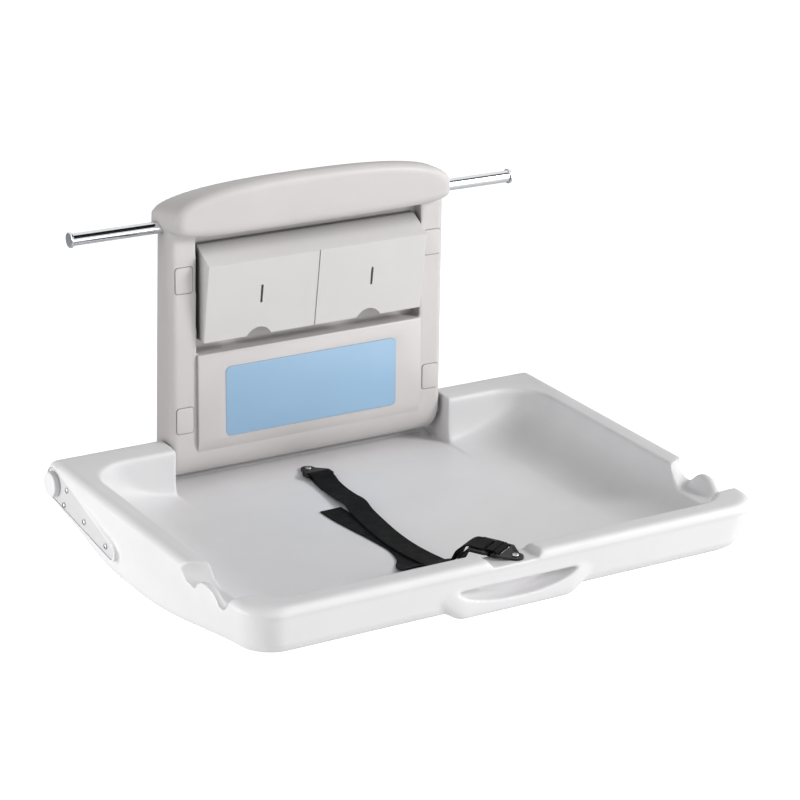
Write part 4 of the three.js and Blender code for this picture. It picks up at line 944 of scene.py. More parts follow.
    def build(self, arms: "HingeArms") -> Workpiece:
        """The whole moulding, with soft edges and with crisp seats for the fittings.

        Args:
            arms: The hinge arms that are let into the bed's sides.

        Returns:
            The bed.
        """
        bed = self.shell().combine(Cut.JOIN, self.handle())
        grow, root = self.arm_pad
        bed.combine(Cut.JOIN, *(arms.outline_slab("arm_pad", grow, self.half - root, self.half - 0.3, sign)
                                for sign in SIDES.values()))
        bed.combine(Cut.CUT, *self.gaps(), self.scoop(), *(self.saddle(sign) for sign in SIDES.values()))
        bed.moulded(2.4, 8, 0.26)
        bed.combine(Cut.JOIN, self.floor_lip())
        inset, drop, radius = self.bumper
        seat = [(0, 0), (radius, 0), (radius, 9), (0, 9)]
        for sign in SIDES.values():
            inner = arms.inner - SEAT_GAP
            bed.combine(Cut.CUT, arms.outline_slab("arm_seat", SEAT_GAP, inner, self.half + 9, sign))
            place = Matrix.Translation((sign * (self.half - inset), -self.stand_off - 4, RIM - drop))
            place = place @ Matrix.Rotation(math.radians(-90), 4, "X")
            bed.combine(Cut.CUT, Workpiece.turned("bumper_seat", seat, place))
        return bed

    def gaps(self) -> list[Workpiece]:
        """Tools for the gap round the panel, its channel in the floor, and the strap's gap."""
        across, down = (-self.gap_half, self.gap_half), (RIM - self.underside - 30, RIM + 30)
        deep, reach = RIM - self.floor - self.channel_depth, -self.channel_reach
        ramp = reach - self.channel_ramp
        channel = [(9, RIM + 30), (9, deep), (reach, deep), (ramp, RIM - self.floor + 0.2), (ramp, RIM + 30)]
        left, right, depth = self.strap_gap
        foot = RIM - depth
        front = [(-left - 6, RIM + 4), (-left + 5, foot), (right - 5, foot), (right + 6, RIM + 4)]
        start = self.reach - self.front_rim - 24
        return [Workpiece.slab("panel_gap", channel, Axis.ACROSS, *across),
                Workpiece.box("panel_gap_low", across, (-self.floor_start, 9), down),
                Workpiece.slab("strap_gap", front, Axis.FORWARD, start, self.reach + 8)]

    def floor_lip(self) -> Workpiece:
        """Low lip along the back of the floor, which closes the view past it."""
        side = [(-14, -80), (-12.5, -77.6), (-10.5, -75.6), (-8, -74.2), (-6, -73.8), (-5, -74.6),
                (-5, -83), (-14, -83)]
        wide = self.gap_half + 2
        return Workpiece.slab("floor_lip", [(y, RIM + z) for y, z in side], Axis.ACROSS, -wide, wide)

    def dress(self, bed: Workpiece) -> None:
        """Names the bed, gives it its finish and hands it to the frame."""
        bed.object.name = "bed_moulding"
        bed.shaded(32).mounted(Body.BED, "bed", BED_PLASTIC.material(), "bed_tray")


@dataclass
class HingeArms:
    """Steel arms let into the bed's sides, with their screws and caps."""

    half_bed: float = BED_WIDTH / 2
    recess: float = 4.5             # from the bed's side to the arm's seat
    thick: float = 3.0
    hub_radius: float = 25.0
    tip_radius: float = 11.0
    length: float = 186.0
    fall: float = 40.0
    screw_radius: float = 4.4
    screw_head: float = 2.5
    screw_shank: Flat = (2.0, 12.0)     # radius and length
    cap_radius: float = 19.5
    cap_height: float = 10.0
    cap_wall: float = 2.2
    screws: tuple[tuple[str, float, float], ...] = (
        ("hub_upper", 42.0, -4.0), ("hub_lower", 32.0, 23.5), ("middle", 100.0, 25.0),
        ("tip", 171.0, 36.5))           # ahead of the hinge, and below it

    @property
    def inner(self) -> float:
        """Inner face of the arm from the middle."""
        return self.half_bed - self.recess

    @property
    def outer(self) -> float:
        """Outer face of the arm from the middle."""
        return self.inner + self.thick

    def outline_slab(self, name: str, grow: float, start: float, stop: float, sign: float) -> Workpiece:
        """The arm's outline, grown by an amount, between two distances from the middle.

        Args:
            name: Name of the solid.
            grow: How far the outline is grown.
            start: Inner distance from the middle.
            stop: Outer distance from the middle.
            sign: Side of the station.

        Returns:
            The solid.
        """
        tip = (HINGE[0] - self.length, HINGE[1] - self.fall)
        outline = belt(HINGE, self.hub_radius + grow, tip, self.tip_radius + grow)
        return Workpiece.slab(name, outline, Axis.ACROSS, start, stop).mirrored(sign)

    def on_arm(self, y: float, z: float, sign: float) -> Matrix:
        """Place on an arm's outer face, with its local Z pointing away from the bed."""
        return sideways((sign * (self.outer + SEAT_GAP), y, z), sign)

    def dress(self) -> None:
        """Builds and dresses the arms, screws and caps."""
        paint, steel, plastic = PAINT.material(), STEEL.material(), BED_PLASTIC.material()
        plastic.name = "cap_plastic"
        for side, sign in SIDES.items():
            arm = self.outline_slab(f"arm_plate_{side}", 0.0, self.inner, self.outer, sign)
            arm.eased(0.7).shaded().mounted(Body.BED, "painted", paint, f"hinge_arm_{side}")
            for name, ahead, below in self.screws:
                place = self.on_arm(HINGE[0] - ahead, HINGE[1] - below, sign)
                screw = pan_screw(f"screw_{name}_{side}", self.screw_radius, self.screw_head,
                                  *self.screw_shank, place)
                screw.mounted(Body.BED, "steel", steel, f"arm_screw_{name}_{side}")
            self.cap(side, sign).mounted(Body.BED, "bed", plastic, f"pivot_cap_{side}")

    def cap(self, side: str, sign: float) -> Workpiece:
        """Domed cap over the end of the hinge shaft, open behind."""
        radius, height, wall = self.cap_radius, self.cap_height, self.cap_wall
        profile = [(0, height - wall), (radius - wall, height - wall), (radius - wall, 0), (radius - 0.4, 0),
                   (radius, 0.5), (radius, height - 3.2)]
        profile += [(radius - 3 + r, height - 3.2 + h) for r, h in arc((0, 0), 3, 0, 90, 8)[1:]]
        profile += [(radius * 0.5, height + 0.4), (0, height + 0.6)]
        return Workpiece.turned(f"cap_{side}", profile, self.on_arm(*HINGE, sign), 96).shaded(50)


def pan_screw(name: str, radius: float, height: float, shank: float, length: float,
              place: Matrix) -> Workpiece:
    """Pan-head screw with a cross recess, standing on its seat.

    Args:
        name: Name of the screw.
        radius: Radius of the head.
        height: Height of the head.
        shank: Radius of the shank.
        length: Length of the shank.
        place: Place of the seat, with local Z out of it.

    Returns:
        The screw.
    """
    dome = [(radius * math.cos(t) ** 0.75, height * (0.35 + 0.65 * math.sin(t)))
            for t in (math.radians(9 * i) for i in range(10))]
    profile = [(0, -length), (shank * 0.6, -length), (shank, -length + 2), (shank, 0), (radius * 0.97, 0),
               (radius, height * 0.12), *dome, (0, height)]
    screw = Workpiece.turned(name, profile, Matrix.Identity(4), 40)
    arm, depth = radius * 0.52, height * 0.62
    for turn in (0, 90):
        slot = Workpiece.slab("recess", [(-arm, -0.55), (arm, -0.55), (arm, 0.55), (-arm, 0.55)], Axis.UP,
                              height - depth, height + 2)
        screw.combine(Cut.CUT, slot.placed(Matrix.Rotation(math.radians(turn + 20), 4, "Z")))
    return screw.placed(place).shaded(35)


@dataclass
class BackPanel:
    """The panel on the wall: a hollow moulding with a hood, a recess for the dispenser and screw wells."""

    half: float = 244.0
    recess_half: float = 200.0
    face_low: float = 56.0
    face_high: float = 42.0
    shoulder: float = 352.0
    skin: float = 4.0               # thickness of the moulding
    edge_round: float = 12.0
    apron_radius: float = 52.0
    apron_start: float = -18.0
    field_proud: float = 5.0
    recess: Flat = (137.0, 322.0)
    recess_back: float = 22.0
    hood_rise: float = 54.0
    hood_drop: float = 28.0
    hood_reach: float = 66.0
    hood_round: float = 14.0
    hood_fall: float = 14.0
    hood_flare: float = 11.0
    hood_fullness: Flat = (2.5, 5.0)    # of the outline's upper and lower half
    cover_size: Point = (30.0, 42.0, 5.0)       # width, height and corner radius
    cover_inset: float = 23.0
    cover_levels: tuple[tuple[str, float], ...] = (("upper", 258.0), ("lower", 35.0))
    label_size: Point = (306.0, 112.0, 9.0)     # width, height and corner radius
    label_level: float = 56.0
    hooks: Flat = (190.5, 236.0)        # outer side and level of the hooks for the dispenser
    behind: float = 36.0                # how far the block reaches into the wall before it is trimmed
    shaft_hole: float = 8.3             # radius
    wall_screw_hole: float = 4.5        # radius

    @property
    def tilt(self) -> float:
        """Lean of the face back from upright, in radians."""
        return math.atan((self.face_low - self.face_high) / (self.shoulder - self.apron_start))

    def face(self, level: float) -> float:
        """Distance of the stiles' face from the wall at a level above the rim."""
        return self.face_low - (level - self.apron_start) * math.tan(self.tilt)

    def on_face(self, x: float, level: float, proud: float = 0.0) -> Matrix:
        """Place on the leaning face, with the local -Y axis out of it."""
        place = Matrix.Translation((x, -(self.face(level) + proud), RIM + level))
        return place @ Matrix.Rotation(-self.tilt, 4, "X")

    def profile(self, skin: float) -> list[Flat]:
        """Side view of the panel, set in by a skin."""
        top = self.shoulder - skin
        centre = (self.apron_radius - self.face_low, RIM + self.apron_start)
        points = [(self.behind, RIM + top), (-(self.face(top) - skin), RIM + top)]
        points += arc(centre, self.apron_radius - skin, 180, 270, 24)
        return points + [(self.behind, centre[1] - self.apron_radius + skin)]

    def slabs(self) -> Workpiece:
        """The panel's block, with its long edges rounded."""
        rings = []
        for turn in (math.radians(-90 + 10 * i) for i in range(19)):
            out = math.copysign(self.half - self.edge_round, turn) if turn else 0.0
            x = out + self.edge_round * math.sin(turn)
            rings.append([(x, y, z) for y, z in self.profile(self.edge_round * (1 - math.cos(turn)))])
        return Workpiece.loft("panel_block", rings)

    def hood_ring(self, inset: float, out: float) -> list[Point]:
        """Lens outline of the hood at a distance off the wall, set in by an amount."""
        back = 1 - min(max(out / (self.hood_reach - self.hood_round), 0.0), 1.0)
        ring = []
        steps = 128
        for i in range(steps):
            turn = math.tau * i / steps
            c, s = math.cos(turn), math.sin(turn)
            power = 2 / self.hood_fullness[0 if s > 0 else 1]
            half = self.half + self.hood_flare * back - inset
            height = (self.hood_rise - self.hood_fall * back if s > 0 else self.hood_drop) - inset
            ring.append((math.copysign(half * abs(c) ** power, c), -out,
                         RIM + self.shoulder + math.copysign(height * abs(s) ** power, s)))
        return ring

    def hood(self, inset: float, start: float) -> Workpiece:
        """The hood from the wall forward, with a round front edge."""
        rings = [self.hood_ring(inset, start)]
        around = self.hood_round - inset
        for i in range(13):
            turn = math.radians(7.5 * i)
            rings.append(self.hood_ring(inset + around * (1 - math.cos(turn)),
                                        self.hood_reach - self.hood_round + around * math.sin(turn)))
        return Workpiece.loft("hood", rings)

    def field(self) -> Workpiece:
        """Raised field that carries the label."""
        low, high, proud = self.apron_start, self.recess[0], self.field_proud
        side = [(-(self.face(low) - 1), RIM + low), (-(self.face(high) - 1), RIM + high),
                (-(self.face(high) + proud - 2), RIM + high), (-(self.face(high) + proud), RIM + high - 3),
                (-(self.face(low) + proud), RIM + low + 16), (-(self.face(low) + 0.1), RIM + low - 2)]
        return Workpiece.slab("field", side, Axis.ACROSS, -self.recess_half, self.recess_half)

    def wells(self) -> list[tuple[str, float, float]]:
        """Name, place across and level of each screw well."""
        return [(f"{row}_{side}", sign * (self.half - self.cover_inset), level)
                for row, level in self.cover_levels for side, sign in SIDES.items()]

    def hollow(self) -> Workpiece:
        """Room behind the skin, round the recess and the screw wells."""
        inside = self.half - self.skin
        room = Workpiece.slab("room", self.profile(self.skin), Axis.ACROSS, -inside, inside)
        room.combine(Cut.JOIN, self.hood(self.skin, -1))
        edge = self.recess_half + self.skin
        room.combine(Cut.CUT, Workpiece.box(
            "recess_walls", (-edge, edge), (-self.hood_reach - 9, -self.recess_back + self.skin),
            (RIM + self.recess[0] - self.skin, RIM + self.recess[1] + self.skin)))
        width, height = self.cover_size[0], self.cover_size[1]
        for _, x, level in self.wells():
            room.combine(Cut.CUT, Workpiece.box(
                "well_walls", (x - width / 2, x + width / 2), (-self.face(level) - 9, -3.3),
                (RIM + level - height / 2, RIM + level + height / 2)))
        return room

    def build(self) -> Workpiece:
        """The whole panel, soft at its edges and crisp at its seats."""
        panel = self.slabs().combine(Cut.JOIN, self.hood(0, 0.0))
        recess = Workpiece.box("recess", (-self.recess_half, self.recess_half),
                               (-self.hood_reach - 20, -self.recess_back),
                               (RIM + self.recess[0], RIM + self.recess[1]))
        wall = Workpiece.box("wall", (-900, 900), (0, 900), (-900, 900))
        panel.combine(Cut.CUT, recess, wall).moulded(2.2, 6, 0.22)
        panel.combine(Cut.JOIN, self.field().eased(1.2)).combine(Cut.CUT, self.hollow())
        width, height, radius = self.cover_size
        rim = rounded_rectangle(width + 0.4, height + 0.4, radius)
        for _, x, level in self.wells():
            mouth = Workpiece.slab("mouth", rim, Axis.FORWARD, -2.2, 6)
            panel.combine(
                Cut.CUT, mouth.placed(self.on_face(x, level)),
                Workpiece.box("well", (x - width / 2 + 3, x + width / 2 - 3), (-self.face(level) - 9, -6.3),
                              (RIM + level - height / 2 + 3, RIM + level + height / 2 - 3)),
                cylinder("wall_screw_hole", self.wall_screw_hole, (x, -9, RIM + level), (x, 9, RIM + level)))
        seat = rounded_rectangle(self.label_size[0] + 0.6, self.label_size[1] + 0.6, self.label_size[2])
        label = Workpiece.slab("label_seat", seat, Axis.FORWARD, -0.9, 6)
        panel.combine(Cut.CUT, label.placed(self.on_face(0, self.label_level, self.field_proud)))
        rod = (-ROD_OUT, RIM + ROD_LEVEL)
        panel.combine(Cut.CUT, cylinder("rod_hole", ROD_RADIUS + SEAT_GAP, (-280, *rod), (280, *rod)))
        for sign in SIDES.values():
            panel.combine(Cut.CUT, cylinder("shaft_hole", self.shaft_hole, (sign * (self.half - 9), *HINGE),
                                            (sign * (self.half + 9), *HINGE)))
            panel.combine(Cut.JOIN, self.hook(sign))
        return panel

    def hook(self, sign: float) -> Workpiece:
        """Hook on the back of the recess that the dispenser hangs on."""
        outer, level = self.hooks
        back, z = self.recess_back, RIM + level
        side = [(-back + 1, z - 8), (-back - 9, z - 8), (-back - 9, z + 4), (-back - 6, z + 4),
                (-back - 6, z), (-back + 1, z)]
        return Workpiece.slab("hook", side, Axis.ACROSS, outer - 8, outer).mirrored(sign)

    def dress(self) -> None:
        """Builds the panel, and dresses it with its covers and label."""
        plastic = PANEL_PLASTIC.material()
        panel = self.build()
        panel.object.name = "panel_moulding"
        panel.shaded(32).mounted(Body.STATION, "panel", plastic, "back_panel")
        width, height, radius = self.cover_size
        for name, x, level in self.wells():
            outline = rounded_rectangle(width - 1.2, height - 1.2, radius - 0.3)
            cover = Workpiece.slab(f"cover_{name}", outline, Axis.FORWARD, -1.9, 0.8)
            cover.placed(self.on_face(x, level)).eased(0.7).shaded()
            cover.mounted(Body.STATION, "panel", plastic, f"screw_cover_{name}")
        label = Workpiece.slab("label_sheet", rounded_rectangle(*self.label_size), Axis.FORWARD, -0.6, 0.8)
        label.placed(self.on_face(0, self.label_level, self.field_proud)).eased(0.35).shaded()
        label.mounted(Body.STATION, "label", LABEL.material(), "label_plate")


def cylinder(name: str, radius: float, start: Point, stop: Point, segments: int = 48) -> Workpiece:
    """Plain round tool for cutting holes, between two points."""
    axis = Vector(stop) - Vector(start)
    place = Matrix.Translation(start) @ axis.to_track_quat("Z", "Y").to_matrix().to_4x4()
    profile = [(0, 0), (radius, 0), (radius, axis.length), (0, axis.length)]
    return Workpiece.turned(name, profile, place, segments)


@dataclass
class HangingRod:
    """Chromed tube through the panel's shoulders, with flanged end caps."""

    radius: float = ROD_RADIUS
    wall: float = 1.5
    length: float = 772.0
    middle: Point = (-6.0, -ROD_OUT, RIM + ROD_LEVEL)
    cap_radius: float = 12.0
    cap_thick: float = 4.0
    cap_plug: float = 12.0          # length of the cap's plug in the tube
    cap_round: float = 1.6
    chamfer: float = 0.4            # at the tube's ends

    def dress(self) -> None:
        """Builds and dresses the tube and its caps."""
        chrome = CHROME.material()
        x, y, z = self.middle
        bore, end = self.radius - self.wall, self.radius - self.chamfer
        profile = [(0, 0), (end, 0), (self.radius, self.chamfer), (self.radius, self.length - self.chamfer),
                   (end, self.length), (0, self.length)]
        tube = Workpiece.turned("rod_tube", profile, sideways((x - self.length / 2, y, z), 1.0), 96)
        ends = (x - self.length / 2 - 5, y, z), (x + self.length / 2 + 5, y, z)
        tube.combine(Cut.CUT, cylinder("rod_bore", bore, *ends, 64)).shaded(30)
        tube.mounted(Body.STATION, "chrome", chrome, "hanging_rod")
        for side, sign in SIDES.items():
            place = sideways((x + sign * self.length / 2, y, z), sign)
            cap = Workpiece.turned(f"rod_end_{side}", self.cap_profile(bore), place, 96).shaded(35)
            cap.mounted(Body.STATION, "chrome", chrome, f"rod_cap_{side}")

    def cap_profile(self, bore: float) -> list[Flat]:
        """Half section of an end cap, with a plug that fits the bore."""
        low, high, radius = SEAT_GAP, SEAT_GAP + self.cap_thick, self.cap_radius
        plug, around = -self.cap_plug, self.cap_round
        profile = [(0, plug), (bore - 0.8, plug), (bore - 0.3, plug + 0.5), (bore - 0.3, low),
                   (radius - 0.5, low), (radius, low + 0.5)]
        profile += [(radius - around + r, high - around + h) for r, h in arc((0, 0), around, 0, 90, 6)]
        return profile + [(radius * 0.5, high + 0.15), (0, high + 0.2)]


@dataclass
class SafetyStrap:
    """Webbing from the rear anchor to the buckle and back, with its loop, anchors, buckle and screws."""

    width: float = 38.0
    thick: float = 2.0
    floor: float = RIM - TRAY_DEPTH
    rear_anchor: Point = (-14.0, -76.0, RIM - 77.5)
    rear_tongue: float = 38.0
    front_anchor: Point = (0.0, -632.0, RIM - 11.0)
    front_turn: float = 30.0
    front_tongue: float = 28.0
    bar: float = 5.0
    anchor_lift: float = 4.5
    anchor_thick: float = 3.0
    buckle_start: float = 33.0
    buckle_slot: float = 8.5
    buckle_thick: float = 4.0
    reach: float = BED_REACH
    screw: tuple[float, float, float, float] = (5.0, 2.8, 2.2, 10.0)    # head, its height, shank, its length
    anchor_edge: float = 0.5            # width of an anchor's broken edges
    buckle_edge: float = 0.8            # and of the buckle's
    steps: int = 8                      # from one place of the route to the next

    @property
    def lie(self) -> float:
        """Height of the middle of webbing that lies on something."""
        return SEAT_GAP + self.thick / 2

    @property
    def ply(self) -> float:
        """Height from one layer of webbing to the next."""
        return self.thick + SEAT_GAP

    @property
    def rear_bar(self) -> float:
        """Distance of the rear anchor's bar from the wall."""
        return -self.rear_anchor[1] + self.rear_tongue - self.bar

    @property
    def buckle_rise(self) -> float:
        """Middle of the buckle above the front anchor's seat."""
        return self.anchor_lift + self.anchor_thick / 2

    def front_place(self) -> Matrix:
        """Place of the front anchor, with its tongue along +Y."""
        x, y, z = self.front_anchor
        turn = Matrix.Rotation(math.radians(self.front_turn), 4, "Z")
        return Matrix.Translation((x, y, z + SEAT_GAP)) @ turn

    def on_floor(self, out: float, aside: float, height: float) -> tuple[Vector, Vector]:
        """A place of the strap over the tray's floor, and the direction of its width there."""
        return Vector((aside, -out, self.floor + height)), Vector((1, 0, 0))

    def at_buckle(self, ahead: float, rise: float) -> tuple[Vector, Vector]:
        """A place of the strap along the front anchor's heading, and the direction of its width."""
        place = self.front_place()
        return place @ Vector((0, ahead, self.buckle_rise + rise)), place.to_3x3() @ Vector((1, 0, 0))

    def route(self) -> list[tuple[Vector, Vector]]:
        """Places of the main strap from its sewn end to the hem of its tail."""
        lie, ply, bar, start = self.lie, self.ply, self.rear_bar, self.rear_anchor[0]
        hug = 0.82 * lie
        low = self.anchor_lift + SEAT_GAP + self.rear_anchor[2] - self.floor
        high = low + self.anchor_thick
        middle_bar = self.buckle_start + self.bar + self.buckle_slot
        end = self.buckle_start + 3 * self.bar + 2 * self.buckle_slot
        half, wrap = self.buckle_thick / 2, self.buckle_thick / 2 + lie

        def along(share: float, aside: float, height: float) -> tuple[Vector, Vector]:
            """Place at a share of the way from the rear bar to the bed's front."""
            return self.on_floor(bar + share * (self.reach - bar), start - aside, height)

        def near(ahead: float, height: float, aside: float = 0.0) -> tuple[Vector, Vector]:
            """Place at a distance ahead of the rear bar."""
            return self.on_floor(bar + ahead, start - aside, height)
        rear = [near(*stop) for stop in (
            (54, lie, 6), (30, lie, 3), (14, lie), (self.bar, low - lie), (1, low - lie), (-hug, low - hug),
            (-lie, (low + high) / 2), (-hug, high + hug), (1, high + lie), (self.bar, high + lie),
            (16, lie + ply + 2), (34, lie + ply + 0.5, 4), (62, lie + ply + 0.5, 8))]
        out = [along(*stop) for stop in (
            (0.18, 11, lie + 4.5), (0.235, 12, lie + 6.5), (0.29, 17, lie + 3.5),
            (0.355, 22, lie + ply + 0.5), (0.465, 29, lie + ply + 0.5), (0.555, 30, lie + ply + 0.6),
            (0.64, 26, lie + ply + 1.2), (0.72, 20, lie + 6), (0.76, 20, lie + 12))]
        slot = middle_bar + self.bar + self.buckle_slot
        buckle = [self.at_buckle(*stop) for stop in (
            (end + 29, -46), (end + 16, -20), (end + 5, -wrap - 3), (slot, -wrap), (middle_bar + 1, -wrap),
            (middle_bar - hug, -half - hug), (middle_bar - lie, 0), (middle_bar - hug, half + hug),
            (middle_bar + 1, wrap), (slot, wrap), (end + 4, wrap - 0.6), (end + 19, -9), (end + 33, -34))]
        tail = [along(*stop) for stop in (
            (0.75, 52, lie + 22), (0.705, 64, lie + 8.5), (0.667, 60, lie + 2), (0.63, 46, lie + 0.5),
            (0.555, 36, lie), (0.465, 39, lie), (0.355, 47, lie), (0.29, 51, lie), (0.23, 52, lie))]
        return rear + out + buckle + tail

    def path(self) -> list[tuple[Vector, Vector, Vector]]:
        """Smooth path through the route.

        Returns:
            Middle, direction and width direction at every step.
        """
        route = self.route()
        places = [place for place, _ in route]
        places = [2 * places[0] - places[1], *places, 2 * places[-1] - places[-2]]
        path = []
        for i in range(len(route) - 1):
            p0, p1, p2, p3 = places[i:i + 4]
            d0, d1, d2 = (max((b - a).length, 1e-4) ** 0.5 for a, b in ((p0, p1), (p1, p2), (p2, p3)))
            first = ((p1 - p0) / d0 - (p2 - p0) / (d0 + d1) + (p2 - p1) / d1) * d1
            second = ((p2 - p1) / d1 - (p3 - p1) / (d1 + d2) + (p3 - p2) / d2) * d1
            last = i == len(route) - 2
            for step in range(self.steps + (1 if last else 0)):
                t = step / self.steps
                c2, c3 = 3 * (p2 - p1) - 2 * first - second, 2 * (p1 - p2) + first + second
                middle = p1 + first * t + c2 * t * t + c3 * t ** 3
                heading = (first + 2 * c2 * t + 3 * c3 * t * t).normalized()
                lowest = self.floor + self.lie
                if middle.z <= lowest:
                    middle.z = lowest
                    heading = Vector((heading.x, heading.y, 0)).normalized()
                side = route[i][1].lerp(route[i + 1][1], t)
                side = (side - heading * side.dot(heading)).normalized()
                path.append((middle, heading, side))
        return path

    def section(self) -> list[Flat]:
        """Cross-section of the webbing: flat, with rounded selvedges."""
        half, up = self.width / 2, self.thick / 2
        upper = [(half, 0.0), (half - 0.15, up * 0.6), (half - 0.8, up * 1.05), (half - 2.2, up * 1.08),
                 (half - 3.4, up * 0.92), (half * 0.4, up * 0.95)]
        top = upper + [(-w, h) for w, h in reversed(upper)]
        return top + [(w, -h) for w, h in reversed(top[1:-1])]

    def ribbon(self, name: str, path: Sequence[tuple[Vector, Vector, Vector]]) -> Workpiece:
        """Webbing along a path, with its lengths kept for the weave.

        Args:
            name: Name of the strap.
            path: Middle, direction and width direction at every step.

        Returns:
            The strap.
        """
        section = self.section()
        rings, lengths, run = [], [], 0.0
        for i, (middle, heading, side) in enumerate(path):
            up = side.cross(heading)
            rings.append([tuple(middle + side * w + up * h) for w, h in section])
            run += (middle - path[i - 1][0]).length if i else 0.0
            lengths.append(run)
        strap = Workpiece.loft(name, rings)
        layer = strap.object.data.uv_layers.new(name="strap")
        count = len(section)
        for loop in strap.object.data.loops:
            row, corner = divmod(loop.vertex_index, count)
            row = min(row, len(rings) - 1)
            layer.data[loop.index].uv = ((section[corner][0] + self.width) * MM, lengths[row] * MM)
        return strap.shaded(50)

    def loop_path(self) -> list[tuple[Vector, Vector, Vector]]:
        """Path of the short loop between the front anchor and the buckle."""
        inside = math.hypot(self.bar, self.buckle_thick) / 2 + SEAT_GAP + self.thick / 2
        near, far = self.front_tongue - self.bar / 2, self.buckle_start + self.bar / 2
        outline = arc((near, 0), inside, 90, 270, 20) + arc((far, 0), inside, -90, 90, 20)
        outline.append((near + 1.5, inside))
        place = self.front_place()
        side = place.to_3x3() @ Vector((1, 0, 0))
        points = [place @ Vector((0, ahead, self.buckle_rise + rise)) for ahead, rise in outline]
        path = []
        for i, point in enumerate(points):
            heading = points[min(i + 1, len(points) - 1)] - points[max(i - 1, 0)]
            path.append((point, heading.normalized(), side))
        return path

    def dress(self) -> None:
        """Builds and dresses the strap, its loop, anchors, buckle and screws."""
        cloth, nylon, steel = STRAP_CLOTH.material(), NYLON.material(), STEEL.material()
        steel.name = "screw_steel"
        self.ribbon("strap_main", self.path()).mounted(Body.BED, "webbing", cloth, "strap_webbing")
        self.ribbon("strap_loop", self.loop_path()).mounted(Body.BED, "webbing", cloth, "strap_loop_front")
        for name, (x, y, z) in (("rear", self.rear_anchor), ("front", self.front_anchor)):
            place = Matrix.Translation((x, y, z + 2 * SEAT_GAP + self.anchor_thick))
            screw = pan_screw(f"anchor_bolt_{name}", *self.screw, place)
            screw.mounted(Body.BED, "steel", steel, f"anchor_screw_{name}")
            dress_node(f"strap_anchor_{name}", nylon, self.anchor_edge)
        dress_node("strap_buckle", nylon, self.buckle_edge)


def dress_node(node: str, material: bpy.types.Material, ease: float = 0.0) -> None:
    """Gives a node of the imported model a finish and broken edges.

    Args:
        node: Name of the node.
        material: Its finish.
        ease: Width of the broken edges in millimetres.
    """
    item = frame["nodes"][node]
    item.data.materials.clear()
    item.data.materials.append(material)
    if ease:
        flat = item.modifiers.new("flat_faces", "DECIMATE")
        flat.decimate_type = "DISSOLVE"
        flat.angle_limit = math.radians(FLAT_ANGLE)
        broken = item.modifiers.new("broken_edges", "BEVEL")
        broken.width = ease * MM
        broken.segments = EDGE_STEPS
        broken.limit_method = "ANGLE"
        broken.angle_limit = math.radians(EDGE_ANGLE)
    log.info("%s: packed solid with %s", node, material.name)


@dataclass
class DispenserCover:
    """Folded cover of the liner bays, with a joint line down its middle."""

    front: tuple[Flat, Flat] = ((73.0, 283.0), (60.0, 158.0))   # its top and foot, off the wall and level
    joint: Flat = (4.4, 1.5)        # width and depth of the joint line
    edge: float = 1.3               # width of the broken edges

    def dress(self) -> None:
        """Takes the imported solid, cuts the joint line wider, breaks the edges and gives the finish."""
        mesh = frame["nodes"]["dispenser_cover"].data
        cover = Workpiece("liner_cover", [tuple(corner.co / MM) for corner in mesh.vertices],
                          [tuple(face.vertices) for face in mesh.polygons])
        (top_out, top), (low_out, low) = self.front
        width, depth = self.joint
        side = [(-top_out - 9, RIM + top), (-top_out + depth, RIM + top), (-low_out + depth, RIM + low - 9),
                (-low_out - 9, RIM + low - 9)]
        cover.combine(Cut.CUT, Workpiece.slab("joint", side, Axis.ACROSS, -width / 2, width / 2))
        plastic = COVER_PLASTIC.material()
        cover.eased(self.edge).shaded().mounted(Body.DISPENSER, "cover", plastic, "dispenser_cover")


@dataclass
class Fittings:
    """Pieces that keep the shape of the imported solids: the wall plate, the hinge's inside and the stops."""

    plate_edge: float = 0.5         # width of the wall plate's broken edges, and of the others'
    damper_edge: float = 0.6
    nut_edge: float = 0.5
    bush_edge: float = 0.2
    stop_edge: float = 0.8

    def dress(self) -> None:
        """Gives each of them its finish."""
        steel, rubber, nylon = STEEL.material(), RUBBER.material(), NYLON.material()
        steel.name, nylon.name = "plate_steel", "bush_nylon"
        dress_node("wall_plate", steel, self.plate_edge)
        dress_node("hinge_shaft", steel)
        for side in SIDES:
            dress_node(f"rotary_damper_{side}", steel, self.damper_edge)
            dress_node(f"pivot_nut_{side}", steel, self.nut_edge)
            dress_node(f"shaft_bush_{side}", nylon, self.bush_edge)
            dress_node(f"stop_bumper_{side}", rubber, self.stop_edge)


@dataclass(frozen=True)
class Lamp:
    """A soft rectangular lamp."""

    name: str
    place: Point                # in metres
    size: Flat                  # width and height in metres
    power: float                # in watts
    aim: Point = (0.0, -0.3, -0.1)

    def hang(self) -> None:
        """Adds the lamp to the scene."""
        data = bpy.data.lights.new(self.name, "AREA")
        data.shape = "RECTANGLE"
        data.size, data.size_y = self.size
        data.energy = self.power
        lamp = bpy.data.objects.new(self.name, data)
        lamp.location = self.place
        towards = Vector(self.aim) - Vector(self.place)
        lamp.rotation_euler = towards.to_track_quat("-Z", "Y").to_euler()
        bpy.context.scene.collection.objects.link(lamp)


SIDE_LAMP = Lamp("left_low", (-3.2, 0.5, -0.5), (2.0, 0.7), 52.0, (0.0, 0.0, -0.2))
LAMPS = (
    Lamp("key_right", (4.4, -4.2, 3.3), (2.0, 2.0), 288.0),
    Lamp("right", (5.4, -0.5, 3.1), (1.9, 1.9), 58.0),
    Lamp("right_low", (3.5, -4.9, -0.26), (3.2, 1.3), 60.0),
    SIDE_LAMP,
    Lamp("left_fill", (-3.4, 0.2, 0.5), (1.6, 1.2), 29.0),
    Lamp("front", (0.2, -4.2, 0.6), (2.0, 2.0), 36.0),
    Lamp("left_high", (-2.4, -0.3, 2.0), (1.6, 1.6), 16.0),
)


